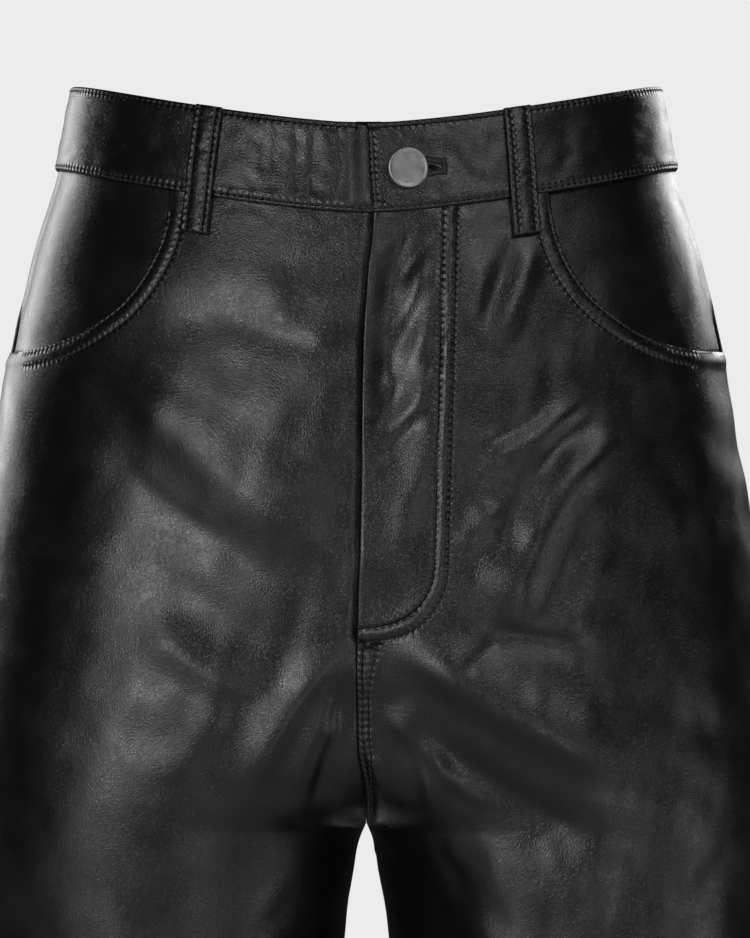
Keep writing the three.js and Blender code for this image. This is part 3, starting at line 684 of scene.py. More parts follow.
def leather_material(name, base, rough, grain_height):
    """Black nappa: pebble cells with pores, soft creases, and puckers along stitch rows."""
    material, nodes, links = new_material(name)
    shader = nodes["Principled BSDF"]
    where = nodes.new("ShaderNodeTexCoord").outputs["Object"]

    def calc(operation, *values):
        return math_node(nodes, links, operation, *values)

    bend = nodes.new("ShaderNodeVectorMath")
    bend.operation = "MULTIPLY_ADD"
    wobble = nodes.new("ShaderNodeTexNoise")
    wobble.inputs["Scale"].default_value = 520
    wobble.inputs["Detail"].default_value = 0
    links.new(where, wobble.inputs["Vector"])
    links.new(wobble.outputs["Color"], bend.inputs[0])
    bend.inputs[1].default_value = (0.0008, 0.0008, 0.0008)
    links.new(where, bend.inputs[2])
    cells = nodes.new("ShaderNodeTexVoronoi")
    cells.feature = "DISTANCE_TO_EDGE"
    cells.inputs["Scale"].default_value = 1050
    links.new(bend.outputs[0], cells.inputs["Vector"])
    pebble = nodes.new("ShaderNodeMapRange")
    pebble.interpolation_type = "SMOOTHSTEP"
    pebble.inputs["From Max"].default_value = 0.34
    links.new(cells.outputs["Distance"], pebble.inputs["Value"])
    fine = noise_node(nodes, links, where, 3000, 1)
    patch = noise_node(nodes, links, where, 70, 1.5, 0.5)
    crease = nodes.new("ShaderNodeTexNoise")
    crease.noise_type = "RIDGED_MULTIFRACTAL"
    crease.inputs["Scale"].default_value = 48
    crease.inputs["Detail"].default_value = 2
    links.new(where, crease.inputs["Vector"])
    strength = calc("MULTIPLY_ADD", patch, 1.1, 0.35)
    height = calc("MULTIPLY", calc("MULTIPLY", pebble.outputs[0], strength), grain_height)
    height = calc("MULTIPLY_ADD", fine, grain_height * 0.2, height)
    height = calc("MULTIPLY_ADD", patch, 0.22, height)
    height = calc("MULTIPLY_ADD", crease.outputs[0], -0.07, height)
    seam = nodes.new("ShaderNodeUVMap")
    seam.uv_map = "seam"
    split = nodes.new("ShaderNodeSeparateXYZ")
    links.new(seam.outputs[0], split.inputs[0])
    turn = calc("MULTIPLY", split.outputs[0], 2 * math.pi)
    wave = calc("COSINE", turn)
    hole = calc("MULTIPLY_ADD", wave, 0.5, 0.5)
    off = calc("DIVIDE", split.outputs[1], 0.55)
    dent = calc("EXPONENT", calc("MULTIPLY", calc("MULTIPLY", off, off), -1.0))
    beside = calc("ABSOLUTE", split.outputs[1])
    off_wide = calc("DIVIDE", calc("SUBTRACT", beside, 1.0), 0.75)
    bulge = calc("EXPONENT", calc("MULTIPLY", calc("MULTIPLY", off_wide, off_wide), -1.0))
    deep = calc("MULTIPLY_ADD", hole, 0.4, 0.28)
    height = calc("MULTIPLY_ADD", calc("MULTIPLY", dent, deep), -1.0, height)
    height = calc("MULTIPLY_ADD", calc("MULTIPLY", bulge, hole), -0.17, height)
    bump = nodes.new("ShaderNodeBump")
    bump.inputs["Distance"].default_value = MM
    bump.inputs["Strength"].default_value = 1.0
    links.new(height, bump.inputs["Height"])
    links.new(bump.outputs[0], shader.inputs["Normal"])
    tone = nodes.new("ShaderNodeMapRange")
    tone.inputs["To Min"].default_value = rough + 0.05
    tone.inputs["To Max"].default_value = rough - 0.03
    links.new(pebble.outputs[0], tone.inputs["Value"])
    spread_rough = calc("MULTIPLY_ADD", calc("SUBTRACT", patch, 0.5), 0.16, tone.outputs[0])
    links.new(spread_rough, shader.inputs["Roughness"])
    shade = nodes.new("ShaderNodeMix")
    shade.data_type = "RGBA"
    shade.inputs["A"].default_value = (*(0.62 * v for v in base), 1)
    shade.inputs["B"].default_value = (*(1.25 * v for v in base), 1)
    links.new(calc("MULTIPLY", pebble.outputs[0], strength), shade.inputs["Factor"])
    links.new(shade.outputs["Result"], shader.inputs["Base Color"])
    shader.inputs["Specular IOR Level"].default_value = 0.5
    return material


def thread_material():
    """Black polyester thread: twisted plies as fine slanting ridges."""
    material, nodes, links = new_material("thread")
    shader = nodes["Principled BSDF"]
    where = nodes.new("ShaderNodeTexCoord").outputs["Object"]
    plies = nodes.new("ShaderNodeTexWave")
    plies.inputs["Scale"].default_value = 900
    plies.inputs["Distortion"].default_value = 1.5
    plies.bands_direction = "DIAGONAL"
    links.new(where, plies.inputs["Vector"])
    bump = nodes.new("ShaderNodeBump")
    bump.inputs["Distance"].default_value = 0.06 * MM
    links.new(plies.outputs[1], bump.inputs["Height"])
    links.new(bump.outputs[0], shader.inputs["Normal"])
    shader.inputs["Base Color"].default_value = (0.007, 0.007, 0.0075, 1)
    shader.inputs["Roughness"].default_value = 0.55
    return material


def pewter_material():
    """Satin pewter: fine scratches and a cloudy tarnish over brushed metal."""
    material, nodes, links = new_material("pewter")
    shader = nodes["Principled BSDF"]
    where = nodes.new("ShaderNodeTexCoord").outputs["Object"]
    stretch = nodes.new("ShaderNodeMapping")
    stretch.inputs["Rotation"].default_value = (0, math.radians(28), 0)
    stretch.inputs["Scale"].default_value = (1, 1, 9)
    links.new(where, stretch.inputs["Vector"])
    brushed = noise_node(nodes, links, stretch.outputs[0], 900, 4, 0.65)
    cloud = noise_node(nodes, links, where, 260, 4, 0.55)
    tone = nodes.new("ShaderNodeMapRange")
    tone.inputs["From Min"].default_value = 0.3
    tone.inputs["From Max"].default_value = 0.7
    tone.inputs["To Min"].default_value = 0.3
    tone.inputs["To Max"].default_value = 0.48
    links.new(cloud, tone.inputs["Value"])
    links.new(tone.outputs[0], shader.inputs["Roughness"])
    shade = nodes.new("ShaderNodeMix")
    shade.data_type = "RGBA"
    shade.inputs["A"].default_value = (0.15, 0.15, 0.152, 1)
    shade.inputs["B"].default_value = (0.34, 0.34, 0.345, 1)
    links.new(cloud, shade.inputs["Factor"])
    links.new(shade.outputs["Result"], shader.inputs["Base Color"])
    bump = nodes.new("ShaderNodeBump")
    bump.inputs["Distance"].default_value = 0.05 * MM
    links.new(brushed, bump.inputs["Height"])
    links.new(bump.outputs[0], shader.inputs["Normal"])
    shader.inputs["Metallic"].default_value = 1.0
    return material


def tape_material():
    """Woven zip tape: fine crossed ribs."""
    material, nodes, links = new_material("zip_tape")
    shader = nodes["Principled BSDF"]
    where = nodes.new("ShaderNodeTexCoord").outputs["Object"]
    ribs = nodes.new("ShaderNodeTexWave")
    ribs.bands_direction = "Z"
    ribs.inputs["Scale"].default_value = 420
    ribs.inputs["Distortion"].default_value = 0.6
    links.new(where, ribs.inputs["Vector"])
    bump = nodes.new("ShaderNodeBump")
    bump.inputs["Distance"].default_value = 0.15 * MM
    links.new(ribs.outputs[1], bump.inputs["Height"])
    links.new(bump.outputs[0], shader.inputs["Normal"])
    shader.inputs["Base Color"].default_value = (0.012, 0.012, 0.013, 1)
    shader.inputs["Roughness"].default_value = 0.85
    return material


LEATHER = leather_material("leather", (0.0035, 0.0035, 0.0037), 0.3, 0.05)
THREAD = thread_material()
PEWTER = pewter_material()
TAPE = tape_material()


# What stands out from the smooth form

def rolled(distance, depth, radius):
    """How far an edge has turned down at a distance from it: a quarter round."""
    return -depth * (1 - np.sqrt(1 - (1 - np.clip(distance / radius, 0, 1)) ** 2))


def fly_inside(x, z, inset):
    """How far inside a row of the fly's stitching a place lies, in mm."""
    run = (BAND_SEAM - z) / (BAND_SEAM - FLY["bend_z"])
    line = FLY["top_x"] + (FLY["bend_x"] - FLY["top_x"]) * run
    wide = FLY["bend_x"] - FLY["end_x"] - inset
    down = FLY["down"] - inset
    beyond = np.maximum(FLY["bend_z"] - z, 0)
    radius = (np.abs((x - FLY["end_x"]) / wide) ** FLY["square"]
              + (beyond / down) ** FLY["square"]) ** (1 / FLY["square"])
    return np.where(z > FLY["bend_z"], line - inset - x, (1 - radius) * min(wide, down))


FLY_FOOT = FLY["bend_z"] - FLY["down"]


def front_relief(x, z):
    """The lap of the fly, its stitched strip, and the two seams of the centre front."""
    inside = fly_inside(x, z, 0)
    left = x > 0
    above = smooth(FLY_FOOT - 3, FLY_FOOT + 3, z)
    ruck = unevenness(x, z, 6.5, 9)
    strip = np.exp(-((inside - FLY_ROWS_APART / 2) / 1.9) ** 2)
    fly = 0.3 * smooth(-1.2, 0.9, inside) + strip * (1.0 + 0.25 * ruck)
    away = np.abs(x)
    lap = 0.75 * np.exp(-(away / 7) ** 2) + rolled(away, 0.95, 1.5)
    seam = rolled(away, 0.7, 1.5)
    beside = np.exp(-((away - 4.9) / 2.3) ** 2) * (0.7 + 0.3 * ruck)
    on_left = fly * (z > FLY_FOOT - 2) + above * lap + (1 - above) * (seam + beside)
    on_right = -1.3 * np.exp(-(away / 2.0) ** 2) * above + (1 - above) * seam
    edge = np.exp(-((z - BAND_SEAM) / 5.0) ** 2) * (0.12 + 0.16 * unevenness(x, z, 9, 12))
    return np.where(left, on_left, on_right) + edge + pocket_relief(x, z)


def pocket_inside(x, z):
    """How far outside the pocket's curve a place of the front lies, in mm."""
    centre = np.where(x > 0, POCKET_X[1], POCKET_X[-1])
    radius = np.hypot((np.abs(x) - centre) / POCKET_ACROSS, (z - POCKET_Z) / POCKET_DOWN)
    return (radius - 1) * 68


def pocket_relief(x, z):
    """The doubled edge between the pocket's two rows is a little thicker."""
    inside = pocket_inside(x, z)
    return np.exp(-((inside - 4.1) / 1.9) ** 2) * (0.6 + 0.2 * unevenness(x, z, 7, 14))


def back_relief(x, z):
    """The seams of the yoke and of the centre back, each with a doubled strip."""
    away = np.abs(x)
    above = smooth(CROTCH - 4, CROTCH + 10, z)
    ruck = unevenness(x, z, 8, 19)
    strip = np.exp(-((away - 4.5) / 3.2) ** 2) * (0.32 + 0.22 * ruck)
    return above * (rolled(away, 0.7, 1.5) + np.where(x > 0, strip, 0))


# Rows of stitches on the panels: each one is points and outward vectors a millimetre apart

def laid_row(face, x, z, out):
    """A row along a line given by x and z, laid on the surface and evenly spaced."""
    x, z = np.asarray(x, dtype=float), np.asarray(z, dtype=float)
    run = np.concatenate([[0], np.cumsum(np.hypot(np.diff(x), np.diff(z)))])
    even = np.linspace(0, run[-1], max(8, int(run[-1])))
    x, z = np.interp(even, run, x), np.interp(even, run, z)
    relief = front_relief(x, z) if face == "front" else back_relief(x, z)
    return place_at(face, ring_height(face, x, z), x, out, relief)


def fly_row(inset):
    """One row of the fly: a straight run, then a quarter superellipse, moved in by an inset."""
    turn = np.radians(np.linspace(0, 90, 40))
    wide, down = FLY["bend_x"] - FLY["end_x"] - inset, FLY["down"] - inset
    power = 2 / FLY["square"]
    x = [FLY["top_x"] - inset, *(FLY["end_x"] + wide * np.cos(turn) ** power)]
    z = [BAND_SEAM - 0.6, *(FLY["bend_z"] - down * np.sin(turn) ** power)]
    keep = np.array(x) > 1.6
    return laid_row("front", np.array(x)[keep], np.array(z)[keep], 0)


def crotch_row(points):
    """A row beside the crotch seam, through a few points."""
    x, z = zip(*points)
    return laid_row("front", x, z, 0)


def pocket_row(half, inset):
    """One row of the pocket: the quarter ellipse of its edge, made larger by an inset."""
    turn = np.radians(np.linspace(7, 84, 60))
    x = POCKET_X[half] - (POCKET_ACROSS + inset) * np.cos(turn)
    z = POCKET_Z - (POCKET_DOWN + inset) * np.sin(turn)
    keep = z < BAND_SEAM - 0.6
    return laid_row("front", half * x[keep], z[keep], 0)


def around_leg(face, half, t0, t1, h0, h1, out):
    """A row across a leg panel, from share t0 to t1 and ring height h0 to h1."""
    t = np.linspace(t0, t1, 320)
    h = np.linspace(h0, h1, 320)
    x, y = panel_xy(face, h, t)
    z = h + climb(h, x, y)
    relief = front_relief(half * x, z) if face == "front" else back_relief(half * x, z)
    return place(face, h, x, y, half, out, relief)


def yoke_seam(t):
    """Ring height of the yoke's lower edge, from the centre back (0) to the side (1)."""
    return YOKE_AT_BACK + (YOKE_AT_SIDE - YOKE_AT_BACK) * t


# The panels

def panel_columns(length, near, fine_to, fine, coarse):
    """Shares of the width: close at both edges, fine near the centre and wider beyond."""
    start = np.concatenate([EDGE, spread(EDGE[-1], fine_to, fine)]) / length
    rest = spread(fine_to / length, 1 - EDGE[-1] / length, coarse / length)
    return np.concatenate([start, [fine_to / length], rest, 1 - EDGE[::-1] / length])


def leg_rows(first, step, coarse):
    """Ring heights of a leg panel's rows: close near its edges and fine above the knee."""
    top = first - EDGE
    crotch = CROTCH - 14
    ends = HEM + EDGE[::-1]
    return np.concatenate([
        top, spread(top[-1], crotch, step), [crotch], spread(crotch, -640, coarse), [-640],
        spread(-640, HEM + HEM_TURN + 3, coarse * 1.25),
        HEM + HEM_TURN + np.array([3, 1.2, 0.3, -0.3, -1.2]),
        spread(HEM + HEM_TURN - 1.2, ends[0], 3.5), ends])


def panel_mesh(name, face, half, h, t, relief, rows):
    """A leg panel or yoke from its grid, doubled inside below the top of the hem's turn."""
    x, y = panel_xy(face, h, t)
    z = h + climb(h, x, y)
    extra = relief(half * x, z)
    length = arc_length(face, h)
    extra += rolled((1 - t) * length, 0.45, 1.4)
    extra += np.where(h < CROTCH, rolled(t * length, 0.45, 1.4), 0)
    hem_row = np.exp(-((h - HEM - HEM_TURN + 3) / 2.5) ** 2)
    extra += -0.35 * hem_row + 0.15 * smooth(HEM + HEM_TURN, HEM + HEM_TURN - 3, h)
    extra += rolled(h - HEM, 0.6, 1.6) * (h < HEM + 2)
    outer, _ = place(face, h, x, y, half, 0, extra)
    wall = WALL + 1.1 * smooth(HEM + HEM_TURN + 0.8, HEM + HEM_TURN - 0.8, h)
    inner, _ = place(face, h, x, y, half, -wall, extra * 0.8)
    points, faces = wall_mesh(outer, inner, half < 0)
    seam = seam_rows(points, rows)
    piece = make_piece(name, points, faces, LEATHER, seam)
    return piece


HEM_ROW_H = HEM + HEM_TURN - 3
YOKE_DEEP, FACING_WIDE = 66, 80
front_length = 236.0
all_rows = []

for side, half in (("left", 1), ("right", -1)):
    rows = [pocket_row(half, 1.4), pocket_row(half, 6.9)]
    rows.append(around_leg("front", half, 0.005, 0.995, HEM_ROW_H, HEM_ROW_H, 0))
    if half > 0:
        rows += [fly_row(0), fly_row(FLY_ROWS_APART)]
        rows.append(crotch_row([(7.7, -199), (6.6, -207), (4.0, -222), (3.9, -239), (4.8, -247),
                                (3.2, -262), (3, -272)]))
        rows.append(crotch_row([(2.2, -199), (1.9, -211), (1.5, -232), (1.9, -249), (2.1, -258),
                                (1.5, -272)]))
    t = panel_columns(front_length, 0, 62, 1.4, 2.05)
    h = leg_rows(BAND_SEAM - SEAM / 2, 1.45, 6.2)
    h, t = np.meshgrid(h, t, indexing="ij")
    piece = panel_mesh("front_" + side, "front", half, h, t, front_relief, rows)
    turn = np.radians(np.arange(0, 360, 3.75))
    outline = np.column_stack([half * (POCKET_X[half] + POCKET_ACROSS * np.cos(turn)),
                               POCKET_Z + POCKET_DOWN * np.sin(turn)])
    cut_by(piece, prism("pocket_cut", outline, -170, 6))
    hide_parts("front_" + side)
    all_rows += rows

# The backs and the yokes: a doubled strip beside the centre back and above the yoke seam
for side, half in (("left", 1), ("right", -1)):
    t = panel_columns(front_length, 0, 30, 1.9, 3.2)
    rows = [around_leg("back", half, 0.005, 0.995, HEM_ROW_H, HEM_ROW_H, 0)]
    if half > 0:
        for across in (1.6, 7.4):
            rows.append(laid_row("back", [across, across], [-78, CROTCH + 14], 0))
    level = leg_rows(YOKE_AT_BACK - SEAM / 2, 2.4, 6.0)
    h, t_grid = np.meshgrid(level, t, indexing="ij")
    slant = 1 - smooth(0, 1, (YOKE_AT_BACK - h) / 150)
    h = h + slant * (yoke_seam(t_grid) - YOKE_AT_BACK)
    piece = panel_mesh("back_" + side, "back", half, h, t_grid, back_relief, rows)
    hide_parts("back_" + side)
    all_rows += rows

    rows = []
    for above in (1.5, 7.0):
        start, end = YOKE_AT_BACK + above, YOKE_AT_SIDE + above
        rows.append(around_leg("back", half, 0.012, 0.988, start, end, 0))
    if half > 0:
        for across in (1.6, 7.4):
            rows.append(laid_row("back", [across, across], [BAND_SEAM + 8, -72], 0))
    down = edged(YOKE_DEEP, 1.4)
    down, t_grid = np.meshgrid(down, t, indexing="ij")
    top = BAND_SEAM - SEAM / 2
    h = top + (yoke_seam(t_grid) + SEAM / 2 - top) * down
    piece = panel_mesh("yoke_" + side, "back", half, h, t_grid, back_relief, rows)
    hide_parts("yoke_" + side)
    all_rows += rows

# The pocket facings: leather that lies behind each scoop and comes forward to the side seam
for side, half in (("left", 1), ("right", -1)):
    past = 14.0
    level = np.concatenate([BAND_SEAM - SEAM / 2 - EDGE, spread(-21.5, -88, 1.2), [-88.6]])
    u = edged(FACING_WIDE, 1.4)
    h, u = np.meshgrid(level, u, indexing="ij")
    z = h + climb(h, 100.0 + 0 * h, -60.0 + 0 * h)
    drop = np.clip((POCKET_Z - z) / (POCKET_DOWN + past), -1, 0.999)
    inner_x = POCKET_X[half] - (POCKET_ACROSS + past) * np.sqrt(1 - drop ** 2)
    widths = np.linspace(0, 1, 401)
    start = np.empty(len(level))
    for i, row_h in enumerate(level):
        xs = panel_xy("front", np.full(401, row_h), widths)[0]
        start[i] = min(np.interp(inner_x[i, 0], xs, widths), 0.96)
    t = start[:, None] + (1 - start[:, None]) * u
    x, y = panel_xy("front", h, t)
    z = h + climb(h, x, y)
    to_side = (1 - t) * arc_length("front", h)
    forward = 1.6 * smooth(15, 3, to_side) * smooth(-64, -52, z)
    extra = forward + 0.2 * unevenness(half * x, z, 24, 31) * smooth(2, 12, to_side)
    outer, _ = place("front", h, x, y, half, -1.9, extra)
    inner, _ = place("front", h, x, y, half, -1.9 - WALL, extra)
    points, faces = wall_mesh(outer, inner, half < 0)
    piece = make_piece("pocket_facing_" + side, points, faces, LEATHER, seam_rows(points, []))
    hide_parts("pocket_facing_" + side)


# The waistband: its right half runs on under the left one and carries the button

LAP_REACH, LAP_SINK = 34.0, 2.9
BAND_QUARTER, FINE_TO = 180, 60


def band_place(half, h, c, out, extra):
    """A place of one half of the waistband. The column c is a length in mm past the centre
    front where it is below zero, then the share of the front, then 1 more for the back."""
    front = along_ring("front", h, np.clip(c, 0, 1))[0]
    back = along_ring("back", h, np.clip(2 - c, 0, 1))[0]
    x = half * np.where(c < 0, c, np.where(c <= 1, front, back))
    sink = LAP_SINK * (1 - smooth(0.5, 9.0, half * x)) if half < 0 else 0
    extra = extra - sink + band_relief(half, h, c, x)
    front_points, front_n = place_at("front", h, x, out, extra)
    back_points, back_n = place_at("back", h, x, out, extra)
    behind = (c > 1)[..., None]
    return np.where(behind, back_points, front_points), np.where(behind, back_n, front_n)


def band_relief(half, h, c, x):
    """Rolled edges, upright creases, and a fullness between the two long rows."""
    relief = rolled(h - BAND_SEAM, 1.2, 1.5) + rolled(BAND_TOP - h, 1.2, 1.5)
    if half > 0:
        relief = relief + rolled(half * x, 1.5, 1.7) * (c < 1) + rolled((2 - c) * BAND_QUARTER, 0.5, 1.4)
    else:
        relief = relief + rolled((2 - c) * BAND_QUARTER, 0.5, 1.4)
    for crease in BAND_CREASES:
        if crease[0] * half > 0:
            relief = relief + fold_height(crease, x, h) * (c < 1)
    uneven = 0.16 * unevenness(x + 300 * (c > 1), h, 11, 23) + 0.22 * unevenness(x, h, 34, 24)
    edges = np.exp(-((h - BAND_SEAM - 3.4) / 2.6) ** 2) * (0.18 + 0.2 * unevenness(x, h, 6, 25))
    return relief + uneven + edges


def band_row(half, h, first, last):
    """A stitch row round the band at one ring height, a millimetre apart."""
    c = np.linspace(first, last, 420)
    return band_place(half, np.full_like(c, h), c, BAND_OUT, 0)


for side, half in (("left", 1), ("right", -1)):
    start = 0.0 if half > 0 else 0.03
    rows = [band_row(half, BAND_SEAM + 1.9, start + 0.008, 1.992),
            band_row(half, BAND_TOP - 1.9, start + 0.008, 1.992)]
    first = np.concatenate([EDGE, spread(EDGE[-1], FINE_TO, 1.1)]) / BAND_QUARTER
    if half > 0:
        h = np.linspace(BAND_SEAM + 2.2, BAND_TOP - 2.2, 40)
        rows.append(band_place(half, h, np.full_like(h, 1.8 / BAND_QUARTER), BAND_OUT, 0))
    else:
        lap = np.concatenate([-LAP_REACH + EDGE, spread(-LAP_REACH + EDGE[-1], 0, 1.8)])
        first = np.concatenate([lap, np.linspace(0, FINE_TO, 56) / BAND_QUARTER])
    last = 2 - EDGE[::-1] / BAND_QUARTER
    c = np.concatenate([first, spread(FINE_TO / BAND_QUARTER, 1, 1.6 / BAND_QUARTER), [1.0],
                        spread(1, last[0], 2.6 / BAND_QUARTER), last])
    level = np.concatenate([BAND_SEAM + SEAM / 2 + EDGE, spread(-16.6, 16.8, 1.15),
                            BAND_TOP - EDGE[::-1]])[::-1]
    h, c = np.meshgrid(level, c, indexing="ij")
    outer, _ = band_place(half, h, c, BAND_OUT, 0)
    inner, _ = band_place(half, h, c, BAND_IN, 0)
    points, faces = wall_mesh(outer, inner, half < 0)
    piece = make_piece("waistband_" + side, points, faces, LEATHER, seam_rows(points, rows))
    if half > 0:
        slit = np.array([(30.6, 0.2), (24.6, 2.0), (19.5, 2.6), (16.6, 2.5), (14.0, 1.0),
                         (13.2, -0.6), (14.0, -2.6), (16.6, -3.9), (19.5, -3.4), (24.6, -2.4)])
        cut_by(piece, prism("buttonhole_cut", slit, -130, -60))
    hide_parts("waistband_" + side)
    all_rows += rows


# Belt loops: strips that hang from the waist seam, turn up at the foot and run over the band

def loop_profile():
    """Ring height and distance out of both faces, from the top over the foot to the back."""
    foot = BAND_SEAM - LOOP_DROP
    under, over = SEAM, 2 * SEAM + LOOP_THICK
    middle = over - SEAM / 2
    turn = middle - under
    on_band = BAND_OUT + SEAM
    h = np.linspace(BAND_TOP, foot + turn, 48)
    knots = np.array([(19, on_band), (8, on_band + 0.9), (-6, on_band + 0.9), (-19, over + 0.25),
                      (-36, over)])
    upper_in = column_curve(knots[:, 0], knots[:, 1])(h)
    angle = np.radians(np.linspace(-72, 72, 9))
    low = np.linspace(foot + turn, BAND_SEAM - 1, 14)
    outer = [*zip(h, upper_in + LOOP_THICK),
             *zip(foot + turn * (1 - np.cos(angle)), middle - turn * np.sin(angle)),
             *zip(low, np.full(14, under))]
    inner = [*zip(h, upper_in),
             *zip(foot + turn - SEAM / 2 * np.cos(angle), middle - SEAM / 2 * np.sin(angle)),
             *zip(low, np.full(14, under + LOOP_THICK))]
    front = np.concatenate([np.ones(48), np.cos(np.radians(np.linspace(0, 170, 9))), -np.ones(14)])
    return np.array(outer), np.array(inner), front


def loop_place(loop, h, out, across, extra):
    """A place on a belt loop, which leans from its top to its foot."""
    face, top, foot = loop
    down = (BAND_TOP - h) / (BAND_TOP - BAND_SEAM + LOOP_DROP)
    x = top + (foot - top) * down + across
    return place_at(face, h, x, out, extra)


for name, loop in LOOPS.items():
    outer_line, inner_line, front = loop_profile()
    half_wide = LOOP_WIDTH / 2
    inside = half_wide - EDGE
    across = np.concatenate([-inside, spread(-inside[-1], inside[-1], 0.9), inside[::-1]])
    h, a = np.meshgrid(outer_line[:, 0], across, indexing="ij")
    out = np.broadcast_to(outer_line[:, 1:], h.shape)
    edge = half_wide - np.abs(a)
    sewn = 0.16 * np.exp(-((np.abs(a) - 3.2) / 0.6) ** 2)
    relief = rolled(edge, 0.75, 1.0) + 0.3 * np.exp(-(a / 2.0) ** 2) - sewn
    relief = relief + 0.14 * unevenness(a + loop[1], h, 5, 41)
    outer, _ = loop_place(loop, h, out, a, relief * np.maximum(front, 0)[:, None])
    h_in, _ = np.meshgrid(inner_line[:, 0], across, indexing="ij")
    inner, _ = loop_place(loop, h_in, np.broadcast_to(inner_line[:, 1:], h.shape), a, 0)
    rows = []
    for place_across in (-3.23, 3.23):
        high = np.linspace(BAND_TOP - 1.0, BAND_SEAM - LOOP_DROP + 2.4, 60)
        lift = np.interp(-high, -outer_line[:48, 0], outer_line[:48, 1])
        rows.append(loop_place(loop, high, lift, place_across, -0.1))
    points, faces = wall_mesh(outer, inner, loop[0] == "back")
    piece = make_piece(name, points, faces, LEATHER, seam_rows(points, rows))
    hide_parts(name)
    all_rows += rows


# The shank button and its tack, turned about an axis square to the band

def turned(name, profile, tilt):
    """A profile of radius and distance out, turned about an axis square to the band."""
    base, n = place_at("front", np.array(BUTTON["h"]), np.array(BUTTON["x"]), 0)
    axis = Vector(n) + Vector(tilt)
    axis.normalize()
    across = axis.cross(Vector((0, 0, 1))).normalized()
    up = across.cross(axis)
    profile = np.array(profile)
    turn = np.radians(np.arange(0, 360, 3.75))
    r, out = profile[:, :1], profile[:, 1:]
    points = (base + r[..., None] * (np.cos(turn)[None, :, None] * np.array(across)
              + np.sin(turn)[None, :, None] * np.array(up)) + out[..., None] * np.array(axis))
    rows, cols = points.shape[:2]
    ids = np.arange(rows * cols).reshape(rows, cols)
    after = np.roll(ids, -1, axis=1)
    faces = np.stack([ids[:-1], after[:-1], after[1:], ids[1:]], -1).reshape(-1, 4)
    return make_piece(name, points.reshape(-1, 3), faces, PEWTER)


UNDER = BAND_OUT + 0.9
SEAT = BAND_OUT - LAP_SINK + SEAM
button_profile = [
    (0.02, UNDER + 1.4), (2, UNDER + 1.4), (4, UNDER + 1.4), (6.2, UNDER + 1.4), (6.9, UNDER + 1.44),
    (7.3, UNDER + 1.52), (7.55, UNDER + 1.62), (7.8, UNDER + 1.68), (8.05, UNDER + 1.66),
    (8.3, UNDER + 1.56), (8.48, UNDER + 1.42), (8.58, UNDER + 1.2), (8.6, UNDER + 0.95),
    (8.5, UNDER + 0.5), (8.2, UNDER + 0.18), (7.7, UNDER), (3.8, UNDER), (3.2, UNDER - 0.1),
    (2.8, UNDER - 0.4), (2.8, SEAT + 0.3), (3.0, SEAT), (0.02, SEAT)]
button = turned("button", button_profile[::-1], (0.13, 0, -0.1))
tack_top = BAND_IN - LAP_SINK - SEAM
tack_profile = [(0.02, tack_top), (4.9, tack_top), (5.0, tack_top - 0.3), (4.8, tack_top - 0.9),
                (4.0, tack_top - 1.4), (2.0, tack_top - 1.6), (0.02, tack_top - 1.62)]
tack = turned("button_tack", tack_profile[::-1], (0, 0, 0))
for piece, node in ((button, "button"), (tack, "button_tack")):
    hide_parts(node)


# The zip behind the fly: woven tape, a chain of teeth, and a slider with its tab

def zip_out(x):
    """How far out the tape lies: level at its edges and 3.3 mm deeper along its middle."""
    return -1.9 - 3.3 * (1 - smooth(5, 12, np.abs(x)))


h, x = np.meshgrid(np.linspace(-21, -186, 110), np.linspace(-14, 14, 25), indexing="ij")
outer, _ = place_at("front", h, x, zip_out(x))
inner, _ = place_at("front", h, x, zip_out(x) - 0.9)
points, faces = wall_mesh(outer, inner, False)
tape = make_piece("fly_zip", points, faces, TAPE)
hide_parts("fly_zip")


high = np.arange(-36.0, -184.0, -1.3)
at, n = place_at("front", high, np.zeros_like(high), -4.9)
across = np.tile([1.0, 0, 0], (len(at), 1))
spindles("zip_teeth", at, across, n, TOOTH_SHAPE, PEWTER)

base, axis = place_at("front", np.array(-30.0), np.array(0.0), -4.6)
corner = np.array([(-4.5, 5.5), (4.5, 5.5), (3.6, -5.5), (2.6, -5.5), (2.6, -26), (1.6, -27.6),
                   (-1.6, -27.6), (-2.6, -26), (-2.6, -5.5), (-3.6, -5.5)])
low_end, _ = place_at("front", np.array(-58.0), np.array(0.0), -4.6)
run = low_end - base
run = run / np.linalg.norm(run)
flat = corner[:, :1] * np.array([1.0, 0, 0]) - corner[:, 1:] * run + base
count = len(corner)
slider_faces = [[k, (k + 1) % count, (k + 1) % count + count, k + count] for k in range(count)]
mesh = bpy.data.meshes.new("zip_slider")
mesh.from_pydata((np.concatenate([flat, flat + 1.6 * axis]) * MM).tolist(), [],
                 slider_faces + [list(range(count))[::-1], list(range(count, 2 * count))])
mesh.validate()
mesh.materials.append(PEWTER)
slider = bpy.data.objects.new("zip_slider", mesh)
bpy.context.collection.objects.link(slider)
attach(slider, "root")
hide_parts("zip_slider")

# Thread: one piece for all rows, and the close stitches of the buttonhole
stitches("thread", all_rows, THREAD)


def satin(path):
    """Places along a line in x and z on the band, and the directions across it."""
    path = np.array(path, dtype=float)
    run = path_lengths(path)
    even = np.arange(0, run[-1], 0.52)
    x, z = np.interp(even, run, path[:, 0]), np.interp(even, run, path[:, 1])
    h = ring_height("front", x, z)
    at, n = place_at("front", h, x, BAND_OUT + 0.35)
    t = np.gradient(at, axis=0)
    return at, np.cross(n, t), n


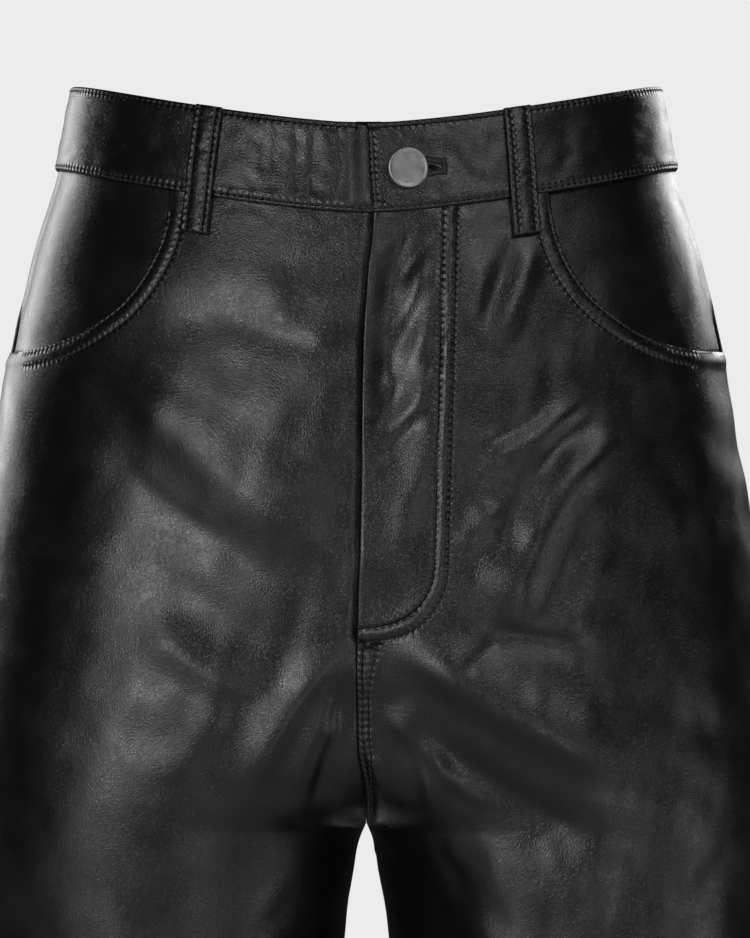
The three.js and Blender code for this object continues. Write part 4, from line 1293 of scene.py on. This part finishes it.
legs = [satin([(12.0, 3.9), (23.0, 3.6), (31.4, 2.3)]),
        satin([(12.0, -4.6), (23.0, -3.5), (31.6, -1.7)]),
        satin([(32.4, 3.6), (32.6, 0.6), (32.6, -3.0)])]
at, t, n = (np.concatenate(part) for part in zip(*legs))
spindles("buttonhole_stitches", at, t, n, SATIN_SHAPE, THREAD)


# The floor, a plain pale sheet of studio paper

def stage_material():
    """Matt pale paper, very slightly uneven in tone."""
    material, nodes, links = new_material("paper")
    shader = nodes["Principled BSDF"]
    where = nodes.new("ShaderNodeTexCoord").outputs["Object"]
    tint = nodes.new("ShaderNodeMapRange")
    tint.inputs["To Min"].default_value = 0.6
    tint.inputs["To Max"].default_value = 0.64
    links.new(noise_node(nodes, links, where, 3, 3), tint.inputs["Value"])
    gray = nodes.new("ShaderNodeCombineXYZ")
    for k in range(3):
        links.new(tint.outputs[0], gray.inputs[k])
    links.new(gray.outputs[0], shader.inputs["Base Color"])
    shader.inputs["Roughness"].default_value = 0.8
    return material


floor_mesh = bpy.data.meshes.new("floor")
wide, floor_z = 9.0, (HEM - 26) * MM
floor_mesh.from_pydata([(-wide, -wide, floor_z), (wide, -wide, floor_z), (wide, wide, floor_z),
                        (-wide, wide, floor_z)], [], [(0, 1, 2, 3)])
floor_mesh.materials.append(stage_material())
floor = bpy.data.objects.new("floor", floor_mesh)
bpy.context.collection.objects.link(floor)


# Lights: soft boxes in front, low on both sides and behind, all turned to the hips

HIPS, LIGHT_AWAY = Vector((0, -0.05, -0.14)), 2.6


def softbox(name, azimuth, elevation, size, watts):
    """A square soft light, turned to the hips; size in metres."""
    light = bpy.data.lights.new(name, "AREA")
    light.shape = "SQUARE"
    light.size = size
    light.energy = watts
    across, up = math.radians(azimuth), math.radians(elevation)
    level = math.cos(up)
    away = Vector((math.sin(across) * level, -math.cos(across) * level, math.sin(up))) * LIGHT_AWAY
    lamp = bpy.data.objects.new(name, light)
    lamp.location = HIPS + away
    lamp.rotation_euler = (-away).to_track_quat("-Z", "Y").to_euler()
    bpy.context.collection.objects.link(lamp)


softbox("key", -26, 9, 0.8, 25)
softbox("front", 24, 34, 0.6, 10)
softbox("right", 24, -9, 0.8, 7)
softbox("left", -40, -12, 0.8, 5)
softbox("top", 48, 42, 0.8, 6)
softbox("low_right", 72, -12, 0.8, 6)
softbox("back_left", 150, 20, 1.0, 18)
softbox("back_right", -140, 12, 1.0, 15)

# The surroundings: pale where the camera sees them, and dim as a light
world = bpy.data.worlds.new("studio")
world.use_nodes = True
background = world.node_tree.nodes["Background"]
background.inputs["Color"].default_value = (1, 1, 1, 1)
seen = world.node_tree.nodes.new("ShaderNodeLightPath")
level = math_node(world.node_tree.nodes, world.node_tree.links, "MULTIPLY_ADD",
                  seen.outputs["Is Camera Ray"], 0.82, 0.018)
world.node_tree.links.new(level, background.inputs["Strength"])
bpy.context.scene.world = world
bpy.context.scene.view_settings.view_transform = "Standard"
